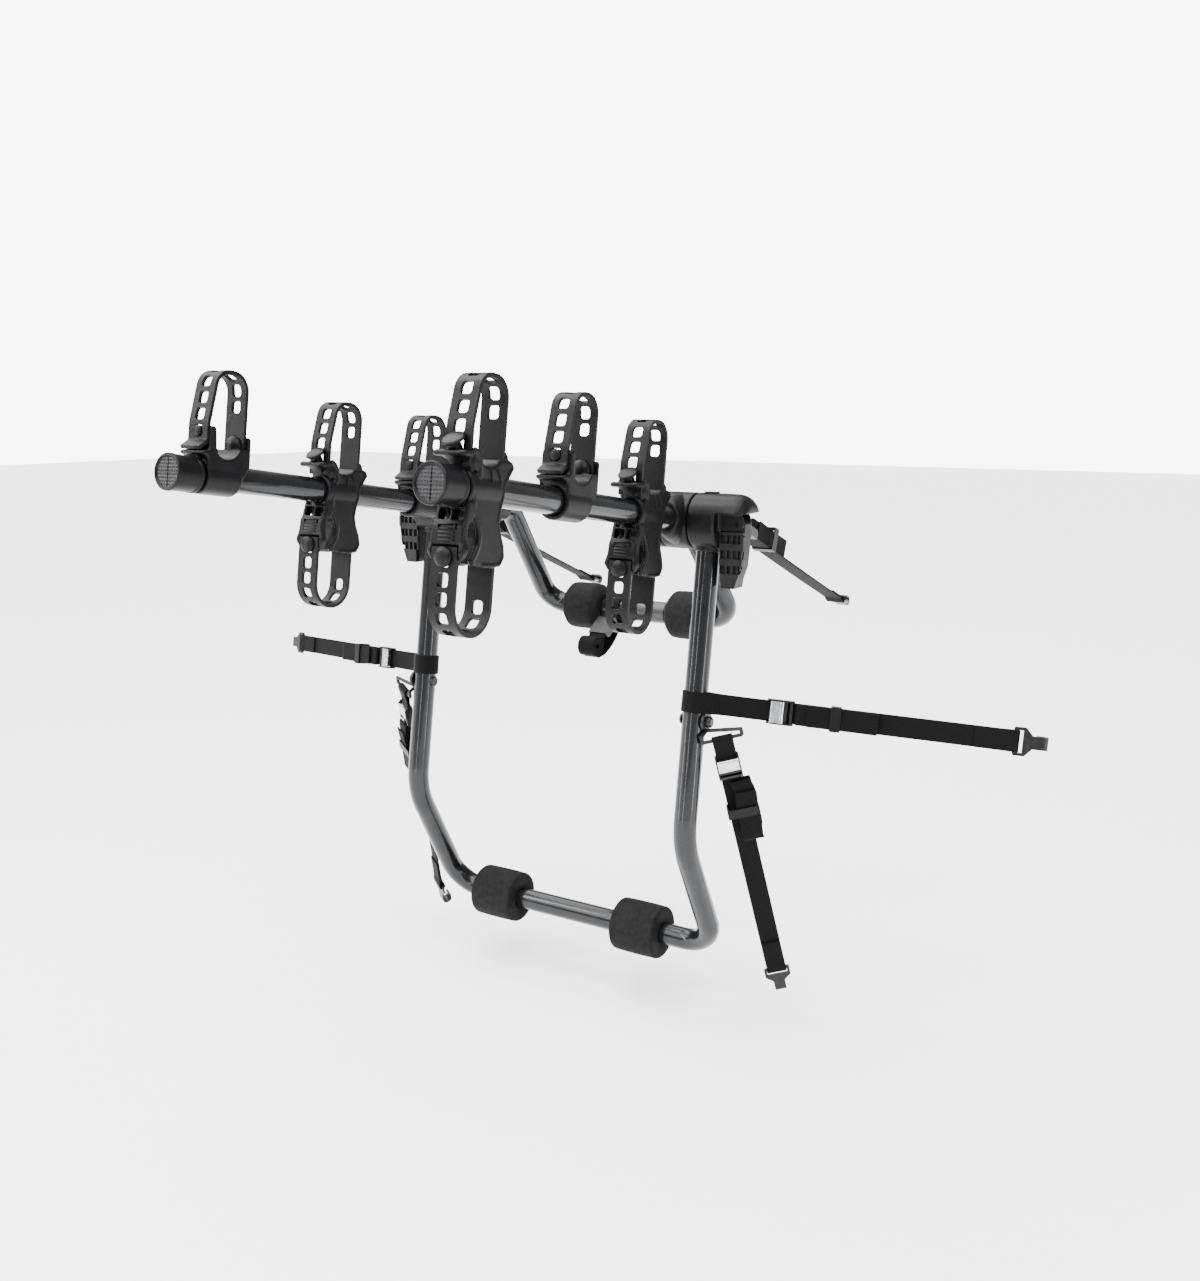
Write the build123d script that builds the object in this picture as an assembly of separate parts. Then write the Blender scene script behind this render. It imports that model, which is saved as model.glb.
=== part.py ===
from build123d import *
from math import cos, radians, sin
import os

# A rack that straps to the back of a car and carries three bicycles on two arms.
# X runs across the car, +Y points towards the car and +Z is up.
# The origin is the middle of the lower bar's axis. Sizes are in millimetres.

# Steel tube
tube_r = 14.3
tube_wall = 1.8
fit_gap = 0.3
shaft_gap = 0.08

# Main frame: two legs that lean forwards, a knee and the lower bar
leg_x = 208.0
pivot_y = -31.0
pivot_z = 553.0
knee_y = -91.0
knee_z = 167.0
knee_bend = 90.0
corner_bend = 45.0
leg_top_gap = 11.0

# Foam pads
pad_r = 34.7
pad_length = 65.0
lower_pad_x = 115.0
lower_pad_shift = -16.0
rear_pad_r = 33.0
rear_pad_x = 84.0
rear_pad_length = 58.0
rear_pad_chamfer = 8.0

# Rear frame, which leans on the car
rear_x = 137.0
rear_corner_x = 150.0
rear_knee_y = 36.0
rear_bar_y = 156.0
rear_bar_z = 401.0
rear_knee_bend = 38.0
rear_corner_bend = 33.0
sleeve_length = 60.0
sleeve_wall = 0.6

# Arms
arm_x = 172.0
arm_reach = 483.0
arm_rise = 8.4
arm_root = 20.0
cap_r = 19.7
cap_length = 34.0
cap_end = 4.0
cap_recess = 1.6
left_front_inset = 61.0
left_middle = 244.0
left_rear = 84.0
right_front_inset = 60.0
right_middle = 265.0
right_rear = 112.0
bore_reach = 60.0

# Hub: three slabs side by side on one bolt, and the outer housing with its lever
hub_r = 34.0
hub_seam = 2.0
arm_hub_width = 36.0
rear_hub_width = 30.0
housing_width = 34.0
nose_length = 49.0
nose_height = 60.0
rear_nose_r = 19.0
rear_nose_length = 47.0
bolt_r = 6.0
bolt_head_r = 11.0
bolt_head_height = 6.0
washer_r = 25.0
washer_thickness = 1.4

# Clamping lever on the end of each hub
lever_inner_x = 229.0
lever_outer_x = 260.0
lever_pin_x = 252.0
lever_pin_r = 3.0
lever_front = -20.0
lever_back = 4.0
lever_drop = 76.0
lever_ceiling = 11.0
cheek = 4.0
groove_depth = 4.0
groove_height = 10.0
groove_levels = (-23.0, -41.0, -59.0)

# Release button on top of each housing
button_length = 16.0
button_width = 10.0
button_height = 5.0
button_stand = 1.6
button_travel = 1.5

# Cradles that clip on the arms
ring_wall = 5.2
ring_length = 46.0
cradle_half = 18.5
saddle_r = 19.0
strap_width = 29.0
strap_thickness = 4.0
strap_hole = 13.0
strap_pitch = 17.8
strap_corner = 3.5
strap_slack = 0.15
limb_front = -22.0
limb_lean = 10.0
limb_knee = 55.0
limb_back = 27.0
simple_top = 111.0
simple_stud_z = 46.0
simple_foot = 20.0
end_stud_z = 35.0
end_stud_r = 12.0
sway_top = 104.0
sway_stud_z = 37.0
sway_foot = 16.0
lower_front = -31.0
lower_back = 23.5
lower_top = -55.0
lower_bottom = 134.5
lower_stud_z = -67.0
sway_depth = 74.0
plate_round = 3.0
stud_r = 11.5

# Webbing, buckles and hooks
web_width = 25.0
web_thickness = 2.0
side_strap_z = 339.0
side_hook = (589.0, 60.0, 312.0)
leg_bolt_z = 317.0
leg_bolt_r = 4.0
bottom_hook = (282.0, 48.0, -60.0)
top_hook = (218.0, 396.0, 395.0)
top_anchor_y = 9.0
top_anchor_z = 549.0
rod_r = 2.3
eye_gap = 0.5
buckle_length = 32.0
buckle_pin = 17.0
cam_reach = 13.0
buckle_wall = 3.0
hook_length = 33.0
hook_head = 33.0
hook_neck = 15.0
hook_plate = 3.0
hook_slot = 26.0
hook_mouth = 11.0
eyelet_spread = 24.0
tail_start = 36.0
tail_gap = 1.5
web_clear = 0.15
wrap_gap = 0.5
side_buckle_at = 86.0
side_tail = 86.0
bottom_buckle_at = 22.0
bottom_tail = 74.0
top_buckle_at = 30.0
top_tail = 96.0
bottom_tail_shift = 9.0
top_tail_rise = 6.5
keeper_at = 0.45
eyelet_out = 24.0
eyelet_drop = 18.0
eyelet_shoulder = 8.0

# Stowed strap on the rear bar
stow_x = -36.0
roll_turns = 4
roll_core = 4.0
roll_pitch = 2.7
roll_drop_y = -70.0
roll_drop_z = -43.0
stow_buckle_at = 6.0

left_stations = (arm_reach - left_front_inset, left_middle, left_rear)
right_stations = (arm_reach - right_front_inset, right_middle, right_rear)
ring_r = tube_r + ring_wall
lean = (pivot_y - knee_y) / (pivot_z - knee_z)
SIDES = {"left": -1, "right": 1}


def leg_y(z):
    """Where the leg's axis is at a height above the knee."""
    return pivot_y + (z - pivot_z) * lean


def bent_tube(points, bends):
    """Round steel tube along a bent line, open at both ends."""
    line = FilletPolyline(*points, radius=bends)
    ring = Circle(tube_r) - Circle(tube_r - tube_wall)
    return sweep(Plane(origin=line @ 0, z_dir=line % 0) * ring, path=line)


def rod_x(radius, x_low, x_high, y=0.0, z=0.0):
    """Cylinder along X from x_low to x_high."""
    return Pos((x_low + x_high) / 2, y, z) * Rot(0, 90, 0) * Cylinder(radius, x_high - x_low)


def rod_y(radius, y_low, y_high, x=0.0, z=0.0):
    """Cylinder along Y from y_low to y_high."""
    return Pos(x, (y_low + y_high) / 2, z) * Rot(90, 0, 0) * Cylinder(radius, y_high - y_low)


def block(x0, x1, y0, y1, z0, z1):
    """Box between two corners."""
    return Pos((x0 + x1) / 2, (y0 + y1) / 2, (z0 + z1) / 2) * Box(x1 - x0, y1 - y0, z1 - z0)


def side_profile(wire, half):
    """Solid with a profile drawn in the YZ plane, as thick as twice half along X."""
    return extrude(make_face(Plane.YZ * wire), amount=half, both=True)


def mirrored(part):
    """The same part on the other side of the car's middle."""
    return mirror(part, about=Plane.YZ)


def on_side(part, side):
    """A part drawn for the right side, or its mirror image."""
    return part if side > 0 else mirrored(part)


def save(name, *parts):
    """Write one node's solids to its file."""
    solids = [s for part in parts for s in part.solids()]
    shape = solids[0] if len(solids) == 1 else Compound(children=solids)
    export_step(shape, f"parts/{name}.step")


def arm_place(side):
    """Frame of an arm: origin at its hub, Y along the arm towards the car."""
    return Location((side * arm_x, pivot_y, pivot_z), (-arm_rise, 0, 0))


def cradle_place(side, row):
    """Frame of a cradle on its arm."""
    station = right_stations[row] if side > 0 else left_stations[row]
    return arm_place(side) * Pos(0, -station, 0)


# Frames

def main_tube():
    """One tube bent into both legs and the lower bar, with a hole for each leg bolt."""
    top = pivot_z - leg_top_gap
    right = [(leg_x, leg_y(top), top), (leg_x, knee_y, knee_z), (leg_x, 0, 0)]
    left = [(-x, y, z) for x, y, z in reversed(right)]
    tube = bent_tube(right + left, [knee_bend, corner_bend, corner_bend, knee_bend])
    reach = leg_x + 2 * tube_r
    return tube - rod_x(leg_bolt_r + shaft_gap, -reach, reach, leg_y(leg_bolt_z), leg_bolt_z)


def rear_tube():
    """Smaller bent tube whose bar leans on the car above the main frame."""
    right = [
        (rear_x, pivot_y + arm_root, pivot_z),
        (rear_x, rear_knee_y, pivot_z),
        (rear_corner_x, rear_bar_y, rear_bar_z),
    ]
    left = [(-x, y, z) for x, y, z in reversed(right)]
    return bent_tube(right + left, [rear_knee_bend, rear_corner_bend, rear_corner_bend, rear_knee_bend])


def lower_pad(side):
    """Foam roller on the lower bar."""
    pad = Rot(0, 90, 0) * (Cylinder(pad_r, pad_length) - Cylinder(tube_r + fit_gap, pad_length))
    return Pos(side * lower_pad_x + lower_pad_shift, 0, 0) * pad


def rear_pad(side):
    """Foam roller on the rear bar, with both ends cut back."""
    pad = Cylinder(rear_pad_r, rear_pad_length)
    ends = pad.edges().filter_by(GeomType.CIRCLE)
    pad = chamfer(ends, rear_pad_chamfer) - Cylinder(tube_r + fit_gap, rear_pad_length)
    return on_side(Pos(rear_pad_x, rear_bar_y, rear_bar_z) * Rot(0, 90, 0) * pad, side)


def blank_sleeve():
    """Thin plain sleeve round the middle of the rear bar, on its right half."""
    low = stow_x + web_width
    wall = sleeve_wall + tube_r + fit_gap
    sleeve = rod_x(wall, low, low + sleeve_length) - rod_x(tube_r + fit_gap, low, low + sleeve_length)
    return Pos(0, rear_bar_y, rear_bar_z) * sleeve


# Hub

def hub_x():
    """Planes between the hub's slabs, from the inner end to the outer."""
    arm_low = arm_x - arm_hub_width / 2
    arm_high = arm_x + arm_hub_width / 2
    rear_high = arm_low - hub_seam
    house_low = arm_high + hub_seam
    return rear_high - rear_hub_width, rear_high, arm_low, arm_high, house_low, house_low + housing_width


def bolt_bore(low, high):
    """Hole for the hub bolt, with running clearance."""
    return rod_x(bolt_r + shaft_gap, low - 1, high + 1, pivot_y, pivot_z)


def rear_hub():
    """Slab that turns with the rear frame and grips its tube."""
    low, high = hub_x()[:2]
    drum = fillet(rod_x(hub_r, low, high, pivot_y, pivot_z).edges(), 3)
    nose = rod_y(rear_nose_r, pivot_y, pivot_y + rear_nose_length, rear_x, pivot_z)
    nose = nose & block(low - 4, high + 9, pivot_y, rear_knee_y, pivot_z - hub_r, pivot_z + hub_r)
    step = block(high, high + 9, pivot_y, pivot_y + hub_r + 3, pivot_z - hub_r, pivot_z + hub_r)
    socket = rod_y(tube_r, pivot_y + arm_root, rear_knee_y, rear_x, pivot_z)
    head_room = rod_x(bolt_head_r + 1, low - 10, low, pivot_y, pivot_z)
    return drum + (nose - step - head_room) - socket - bolt_bore(low, high)


def arm_hub():
    """Slab that turns with an arm, with a socket nose round the arm's tube."""
    half = arm_hub_width / 2
    drum = fillet(rod_x(hub_r, -half, half).edges(), 2)
    nose = block(-half, half, -nose_length, 0, -nose_height / 2, nose_height / 2)
    nose = fillet(nose.edges().filter_by(Axis.Y), 11)
    nose = fillet(nose.faces().sort_by(Axis.Y)[0].edges(), 5)
    socket = rod_y(tube_r, -nose_length - 1, -arm_root)
    return drum + nose - socket - rod_x(bolt_r + shaft_gap, -half - 1, half + 1)


def button_pocket(extra):
    """Space of the release button, grown by a clearance on each side."""
    x = (hub_x()[4] + hub_x()[5]) / 2
    box = Box(button_length + 2 * extra, button_width + 2 * extra, button_height + 2 * extra)
    return Pos(x, pivot_y, pivot_z + hub_r + button_stand - button_height / 2) * box


def strap_lug():
    """Two ears and a cross rod behind the housing, where the upper strap is looped."""
    low, high = hub_x()[4:]
    ears = Part()
    for x in (low, high - cheek):
        ear = block(x, x + cheek, pivot_y, top_anchor_y, top_anchor_z - 6, top_anchor_z + 6)
        ears += ear + rod_x(6, x, x + cheek, top_anchor_y, top_anchor_z)
    return ears + rod_x(rod_r, low, high, top_anchor_y, top_anchor_z)


def hub_housing():
    """Fixed outer part of the hub: it holds the leg, the lever's pin and the strap lug."""
    low, high = hub_x()[4:]
    drum = fillet(rod_x(hub_r, low, high, pivot_y, pivot_z).edges(), 3)
    front, back = pivot_y + lever_front, pivot_y + lever_back
    roof = block(high - 8, lever_outer_x + 2, front, back, pivot_z + lever_ceiling, pivot_z + hub_r - 1)
    roof = fillet(roof.edges().filter_by(Axis.Y).group_by(Axis.X)[-1].sort_by(Axis.Z)[-1], 16)
    roof = fillet(roof.edges().filter_by(Axis.X).group_by(Axis.Z)[-1], 6)
    cheeks = Part()
    for y in (front, back - cheek):
        ear = block(high - 8, lever_pin_x, y, y + cheek, pivot_z - 8, pivot_z + lever_ceiling + 1)
        cheeks += ear + rod_y(8, y, y + cheek, lever_pin_x, pivot_z)
    web = block(high - 1, lever_inner_x - 1, front, back, pivot_z - 8, pivot_z + lever_ceiling + 1)
    axis = Vector(0, lean, 1)
    leg_bore = Plane(origin=(leg_x, leg_y(pivot_z - leg_top_gap), pivot_z - leg_top_gap), z_dir=-axis)
    bore = leg_bore * Pos(0, 0, hub_r) * Cylinder(tube_r, 2 * hub_r)
    pin_hole = rod_y(lever_pin_r + shaft_gap, front - 1, back + 1, lever_pin_x, pivot_z)
    body = drum + roof + cheeks + web + strap_lug()
    pocket = button_pocket(fit_gap) + Pos(0, 0, -button_travel) * button_pocket(fit_gap)
    return body - bore - pin_hole - bolt_bore(low, high) - pocket


def hub_button():
    """Sprung release button that sinks into the housing."""
    button = button_pocket(0)
    return fillet(button.edges().group_by(Axis.Z)[-1], 1.2)


def lever_outline():
    """Lever seen from the front, as a closed line in X and Z about the pin."""
    inner = lever_inner_x - lever_pin_x
    outer = lever_outer_x - lever_pin_x
    points = [
        (inner + 3, 8),
        (0, 8),
        (outer, 0),
        (outer, -28),
        (outer - 2, -50),
        (outer - 11, -lever_drop),
        (inner + 3, -lever_drop),
        (inner, -lever_drop + 8),
        (inner, 4),
    ]
    return Polyline(*points, close=True)


def hub_lever():
    """Cam lever with three finger grooves, narrow where it goes between the cheeks."""
    front, back = pivot_y + lever_front, pivot_y + lever_back
    face = make_face(Plane.XZ * lever_outline())
    lever = extrude(face, amount=(back - front) / 2, both=True)
    lever = fillet(lever.edges().filter_by(Axis.Y).group_by(Axis.Z)[0], 3)
    middle = (back - front) / 2
    inner = lever_inner_x - lever_pin_x
    for y in (-middle, middle - cheek - fit_gap):
        room = block(inner - 1, 12, y, y + cheek + fit_gap, -9, 12)
        lever -= room
    for level in groove_levels:
        for x in (inner - 1, inner + 13):
            cut = block(x, x + 11, -middle - 1, -middle + groove_depth, level, level + groove_height)
            lever -= cut
    lever -= block(5, 12, -4, 4, -12, -2)
    lever -= rod_y(lever_pin_r + shaft_gap, -middle - 1, middle + 1)
    return Pos(lever_pin_x, (front + back) / 2, pivot_z) * lever


def lever_pin():
    """Pin through the housing's cheeks and the lever."""
    front, back = pivot_y + lever_front, pivot_y + lever_back
    return rod_y(lever_pin_r, front, back, lever_pin_x, pivot_z)


def hub_bolt():
    """Bolt that all of a hub's slabs turn on, with its head at the inner end."""
    inner, outer = hub_x()[0], hub_x()[5]
    head = rod_x(bolt_head_r, inner - bolt_head_height - fit_gap, inner - fit_gap, pivot_y, pivot_z)
    head = fillet(head.edges().group_by(Axis.X)[0], 2.5)
    return head + rod_x(bolt_r, inner - fit_gap, outer, pivot_y, pivot_z)


def hub_washers():
    """Friction discs in a hub's two seams."""
    planes = hub_x()
    discs = []
    for seam in (planes[1], planes[3]):
        low = seam + (hub_seam - washer_thickness) / 2
        disc = rod_x(washer_r, low, low + washer_thickness, pivot_y, pivot_z)
        discs.append(disc - bolt_bore(low, low + washer_thickness))
    return discs


# Arms

def arm_tube():
    """Straight arm tube in its own frame."""
    outer = rod_y(tube_r, -arm_reach + cap_end, -arm_root)
    return outer - rod_y(tube_r - tube_wall, -arm_reach, 0)


def arm_cap():
    """Moulded cap over the arm's end, with a recessed face and a stop collar behind it."""
    cap = rod_y(cap_r, -arm_reach, -arm_reach + cap_length)
    cap = fillet(cap.edges(), 1.5)
    cap -= rod_y(cap_r - 3, -arm_reach - 1, -arm_reach + cap_recess)
    return cap - rod_y(tube_r, -arm_reach + cap_end, 0)


# Cradles, drawn about the arm's axis with Y towards the car

def strap_punch():
    """Rounded square punch for a strap's holes."""
    return extrude(RectangleRounded(strap_hole, strap_hole, strap_corner), strap_thickness, both=True)


def hole_tool(line, along):
    """Rounded square punch across a strap at a distance along its line."""
    share = along / line.length
    centre, ahead = line.position_at(share), line.tangent_at(share)
    plane = Plane(origin=centre, x_dir=(1, 0, 0), z_dir=Vector(1, 0, 0).cross(ahead))
    return plane * strap_punch()


def rubber_strap(points, bends, first, count):
    """Flat rubber strap along a line in the YZ plane, with a row of holes."""
    line = FilletPolyline(*[(0, y, z) for y, z in points], radius=bends)
    start = Plane(origin=line @ 0, x_dir=(1, 0, 0), z_dir=line % 0)
    strap = sweep(start * Rectangle(strap_width, strap_thickness), path=line)
    for number in range(count):
        strap -= hole_tool(line, first + number * strap_pitch)
    return strap


def upper_strap(top, front, stud_z, foot):
    """Strap over a bicycle tube: the front points of its tail, then limb, arch and back limb."""
    high = limb_front + limb_lean
    bend = 0.48 * (limb_back - high)
    points = front + [(limb_front, limb_knee), (high, top), (limb_back, top), (limb_back, foot)]
    lead = sum((Vector(*b) - Vector(*a)).length for a, b in zip(front, front[1:]))
    bends = [6] * (len(front) - 1) + [30, bend, bend]
    return rubber_strap(points, bends, lead + stud_z - front[-1][1], 8)


def simple_strap():
    """Strap of a plain cradle, with a hole for its end stud and a tail that stands out."""
    tail = [(limb_front - 11, simple_stud_z - 18), (limb_front, simple_stud_z - 10)]
    strap = upper_strap(simple_top, tail, simple_stud_z, simple_foot)
    return strap - Pos(0, limb_back, end_stud_z) * Rot(90, 0, 0) * strap_punch()


def sway_strap():
    """Upper strap of a steadying cradle, whose tail goes down through the shelf."""
    return upper_strap(sway_top, [(limb_front, sway_foot + 3)], sway_stud_z, sway_foot)


def lower_strap():
    """Strap that hangs below a steadying cradle."""
    low = -lower_bottom
    bend = 0.49 * (lower_back - lower_front)
    points = [(lower_front, lower_top), (lower_front, low), (lower_back, low)]
    points.append((lower_back, -sway_depth + 10))
    return rubber_strap(points, [bend, bend], lower_top - lower_stud_z, 8)


def clamp_ring(length):
    """Ring round the arm's tube."""
    ring = rod_y(ring_r, -length / 2, length / 2)
    return fillet(ring.edges(), 1.5)


def arm_bore(gap):
    """Hole for the arm's tube."""
    return rod_y(tube_r + gap, -bore_reach, bore_reach)


def strap_room(y, z_low, z_high):
    """Slot that a strap's limb stands in."""
    across = strap_width / 2 + 0.2
    half = strap_thickness / 2 + strap_slack
    return block(-across, across, y - half, y + half, z_low, z_high)


def stud(face, side, z, radius, height):
    """Round stud with a domed head, which a strap's hole goes over. Side is -1 or 1 along Y."""
    reach = face + side * (strap_thickness + 2 * strap_slack)
    stem = rod_y(strap_hole / 2 - 1, min(face - side, reach), max(face - side, reach), 0, z)
    head = rod_y(radius, min(reach, reach + side * height), max(reach, reach + side * height), 0, z)
    rim = head.edges().filter_by(GeomType.CIRCLE).sort_by(Axis.Y)
    return stem + fillet(rim[0] if side < 0 else rim[-1], 0.8 * height)


def simple_cradle():
    """Cradle with a clamp ring, a front post, a saddle and a back wall with an end stud."""
    post = limb_front + strap_thickness / 2 + strap_slack
    wall = limb_back + strap_thickness / 2 + strap_slack
    points = [
        (-21, -8), (-23, 17), (-26, 21), (-32, 22), (-32, 25), (post, 29), (post, 52), (post + 6, 52),
        (post + 9, 30), (19, 30), (wall, 30), (wall, 46), (wall + 4, 43), (wall + 4, 8), (22, -8),
    ]
    body = side_profile(Polyline(*points, close=True), cradle_half)
    body -= rod_x(saddle_r, -cradle_half - 1, cradle_half + 1, 1, saddle_r + ring_r - 1)
    body += clamp_ring(ring_length)
    body += stud(post, -1, simple_stud_z, 6.8, 2)
    body -= strap_room(limb_back, simple_foot - 1, bore_reach)
    return body + stud(wall, -1, end_stud_z, end_stud_r, 7) - arm_bore(0)


def sway_outline():
    """Side plate of a steadying cradle: wide at the arm, waisted and flared at the foot."""
    deep = -sway_depth
    back = Spline((36, 8), (22, -22), (28, -44), (35, deep + 11))
    front = Spline((-9, deep), (-11, -35), (-15, -16), (-10, 12))
    foot = Polyline((35, deep + 11), (22, deep), (-9, deep))
    top = Polyline((-10, 12), (-13, 29), (20, 30), (38, 19), (36, 8))
    return [back, foot, front, top]


def shelf_and_tongue():
    """Front of a steadying cradle: the shelf under the upper stud and the tongue below the ring."""
    shelf_line = Polyline((-38, 23), (-38, 31), (-14, 34), (-14, 12), (-22, 12), (-24, 22), close=True)
    shelf = side_profile(shelf_line, cradle_half)
    face = lower_front + strap_thickness / 2 + strap_slack
    low = -sway_depth + 2
    points = [
        (-22, -10), (-23, -24), (face, -58), (face, low),
        (face + 5, low), (face + 6, -56), (-14, -24), (-14, -10),
    ]
    tongue = side_profile(Polyline(*points, close=True), cradle_half)
    for x in (-8, 8):
        tongue -= block(x - 6, x + 6, -40, -10, -35, -22)
    for level in (-42, -47, -52):
        tongue += rod_x(1.4, -9, 9, -22.7 + (face + 22.7) * (level + 24) / -34, level)
    return shelf + tongue


def steady_cradle():
    """Cradle that turns on the arm, with a tongue and a second stud below."""
    plates = extrude(make_face(Plane.YZ * Wire(Curve() + sway_outline())), amount=cradle_half, both=True)
    for outer in (0, -1):
        plates = fillet(plates.faces().sort_by(Axis.X)[outer].edges(), plate_round)
    plates -= rod_x(saddle_r, -cradle_half - 1, cradle_half + 1, 3, saddle_r + ring_r + 1)
    deep = -sway_depth
    plates -= block(-cradle_half + 4, cradle_half - 4, -20, 18, deep - 1, -ring_r - 4)
    body = plates + clamp_ring(ring_length) + shelf_and_tongue()
    body -= strap_room(limb_front, sway_foot - 2, sway_stud_z)
    body -= strap_room(limb_back, sway_foot - 1, bore_reach)
    body -= strap_room(lower_back, deep - 2, deep + 11)
    face = limb_front + strap_thickness / 2 + strap_slack
    body += block(-6, 6, face, face + 6, 28, 44) + stud(face, -1, sway_stud_z, stud_r, 6)
    face = lower_front + strap_thickness / 2 + strap_slack
    body += stud(face, -1, lower_stud_z, stud_r - 1.5, 5)
    return body - arm_bore(shaft_gap)


# Webbing: each strap is drawn in a plane with X along it, Y through it and Z across its width

def strap_plane(anchor, end_point, across):
    """Plane of a strap from its anchor to its hook, with its width along a direction."""
    start, end = Vector(anchor), Vector(end_point)
    ahead = (end - start).normalized()
    width = (Vector(across) - ahead * Vector(across).dot(ahead)).normalized()
    plane = Plane(origin=start, x_dir=ahead, z_dir=width)
    return plane, (end - start).length


def side_plane():
    """Strap that goes from a leg to the car's flank."""
    anchor = (leg_x, leg_y(side_strap_z), side_strap_z)
    return strap_plane(anchor, side_hook, (0, -lean, -1))


def bottom_plane():
    """Strap that goes from a leg's eyelet to under the car."""
    anchor = (leg_x + tube_r + eyelet_out, leg_y(leg_bolt_z), leg_bolt_z - eyelet_drop)
    return strap_plane(anchor, bottom_hook, (-0.85, -0.53, 0))


def top_plane():
    """Strap that goes from a hub over the top of the car's lid."""
    anchor = ((hub_x()[4] + hub_x()[5]) / 2, top_anchor_y, top_anchor_z)
    return strap_plane(anchor, top_hook, (1, 0, 0))


def ribbon(points, bends):
    """Flat webbing along a bent line in the strap's own plane."""
    line = FilletPolyline(*[(x, y, 0) for x, y in points], radius=bends)
    start = Plane(origin=line @ 0, x_dir=(0, 0, 1), z_dir=line % 0)
    return sweep(start * Rectangle(web_width, web_thickness), path=line)


def slab(x0, x1, y0, y1, half):
    """Box in a strap's plane, as wide as twice half."""
    return block(x0, x1, y0, y1, -half, half)


def web_eye(x):
    """Sewn eye of the webbing round a rod across its width."""
    inner = rod_r + eye_gap
    return Pos(x, 0, 0) * (Cylinder(inner + web_thickness, web_width) - Cylinder(inner, web_width))


def folded_tail(start, reach):
    """Spare webbing folded back and forth on top of the strap."""
    turn = (web_thickness + tail_gap) / 2
    levels = [web_thickness + 2 * turn * k for k in range(4)]
    near, far = start, start + reach
    points = [(near - 3, levels[0]), (far, levels[0]), (far, levels[1]), (near, levels[1])]
    points += [(near, levels[2]), (far + 8, levels[2]), (far + 8, levels[3]), (near + 12, levels[3])]
    return ribbon(points, 0.96 * turn)


def placed_tail(kind, start, reach):
    """A strap's folded tail: flat on it, off to one side, or standing on its edge."""
    tail = folded_tail(start, reach)
    if kind == "bottom":
        return Pos(0, 0, -bottom_tail_shift) * tail
    if kind == "top":
        return Pos(0, web_width / 2 + web_thickness / 2 - 0.2, -top_tail_rise) * Rot(90, 0, 0) * tail
    return tail


def webbing(kind, length, buckle_at, tail):
    """Whole webbing of a strap: anchor, main run, folded tail and the hook's eye."""
    reach = rod_r + eye_gap + web_thickness / 2
    end = length - hook_length
    if kind == "side":
        turn = tube_r + web_thickness / 2 + wrap_gap
        away = 3.2 * turn
        loop = [(away, 0.5), (turn, turn), (-turn, turn), (-turn, -turn), (turn, -turn), (away, -0.5)]
        web = ribbon(loop, [turn / 2, 0.98 * turn, 0.98 * turn, turn / 2])
        web += slab(away - 6, end - reach, -web_thickness / 2, web_thickness / 2, web_width / 2)
    else:
        web = web_eye(0) + slab(reach, end - reach, -web_thickness / 2, web_thickness / 2, web_width / 2)
    return web + web_eye(end) + placed_tail(kind, buckle_at + tail_start, tail)


def buckle_pin_at(start):
    """Centre of a cam buckle's pin in its strap's plane."""
    return start + buckle_pin, 5.6


def buckle_frame(start):
    """Pressed steel channel that the webbing runs through, with the cam's pin and two end bars."""
    inner = web_width / 2 + 0.6
    outer = inner + buckle_wall / 2
    floor = -web_thickness / 2 - web_clear
    low = floor - buckle_wall / 2
    frame = slab(start, start + buckle_length, low, floor, outer)
    side = block(start, start + buckle_length, low, 8.5, inner, outer)
    side = chamfer(side.edges().filter_by(Axis.Z).group_by(Axis.Y)[-1], 4)
    pin_x, pin_y = buckle_pin_at(start)
    frame += side + mirror(side, about=Plane.XY) + Pos(pin_x, pin_y, 0) * Cylinder(2, 2 * outer)
    for bar in (0.7, 0.9):
        frame += Pos(start + bar * buckle_length, 4.4, 0) * Box(3, 2, 2 * outer)
    return frame


def buckle_cam(start):
    """Sprung thumb lever that bites the webbing in a buckle and lifts at its near end."""
    pin_x, pin_y = buckle_pin_at(start)
    half = web_width / 2 + 0.2
    cam = Pos(pin_x, pin_y, 0) * Cylinder(3.8, 2 * half)
    plate = slab(pin_x - cam_reach, pin_x, pin_y + 0.6, pin_y + 3.6, half)
    plate = fillet(plate.edges().filter_by(Axis.Z).group_by(Axis.X)[0].sort_by(Axis.Y)[-1], 2.2)
    lip = slab(pin_x - cam_reach, pin_x - cam_reach + 2.5, pin_y - 2.2, pin_y + 2, half)
    return cam + plate + lip - Pos(pin_x, pin_y, 0) * Cylinder(2 + shaft_gap, 3 * half)


def keeper(kind, start, reach):
    """Elastic band round a strap and its folded tail."""
    high = 4.5 * web_thickness + 3 * tail_gap + web_clear
    low = -web_thickness / 2 - web_clear
    right = web_width / 2 + 0.4
    left = -right
    x = start + keeper_at * reach
    if kind == "bottom":
        left -= bottom_tail_shift
    if kind == "top":
        high = web_width + web_thickness / 2 + web_clear
    outside = block(x, x + 12, low - 1.5, high + 1.5, left - 1.6, right + 1.6)
    return outside - block(x - 1, x + 13, low, high, left, right)


def rod_between(start, end, radius):
    """Round bar between two points with a ball at its end."""
    a, b = Vector(start), Vector(end)
    bar = Plane(origin=a, z_dir=(b - a).normalized()) * extrude(Circle(radius), amount=(b - a).length)
    return bar + Pos(*end) * Sphere(radius)


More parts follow.
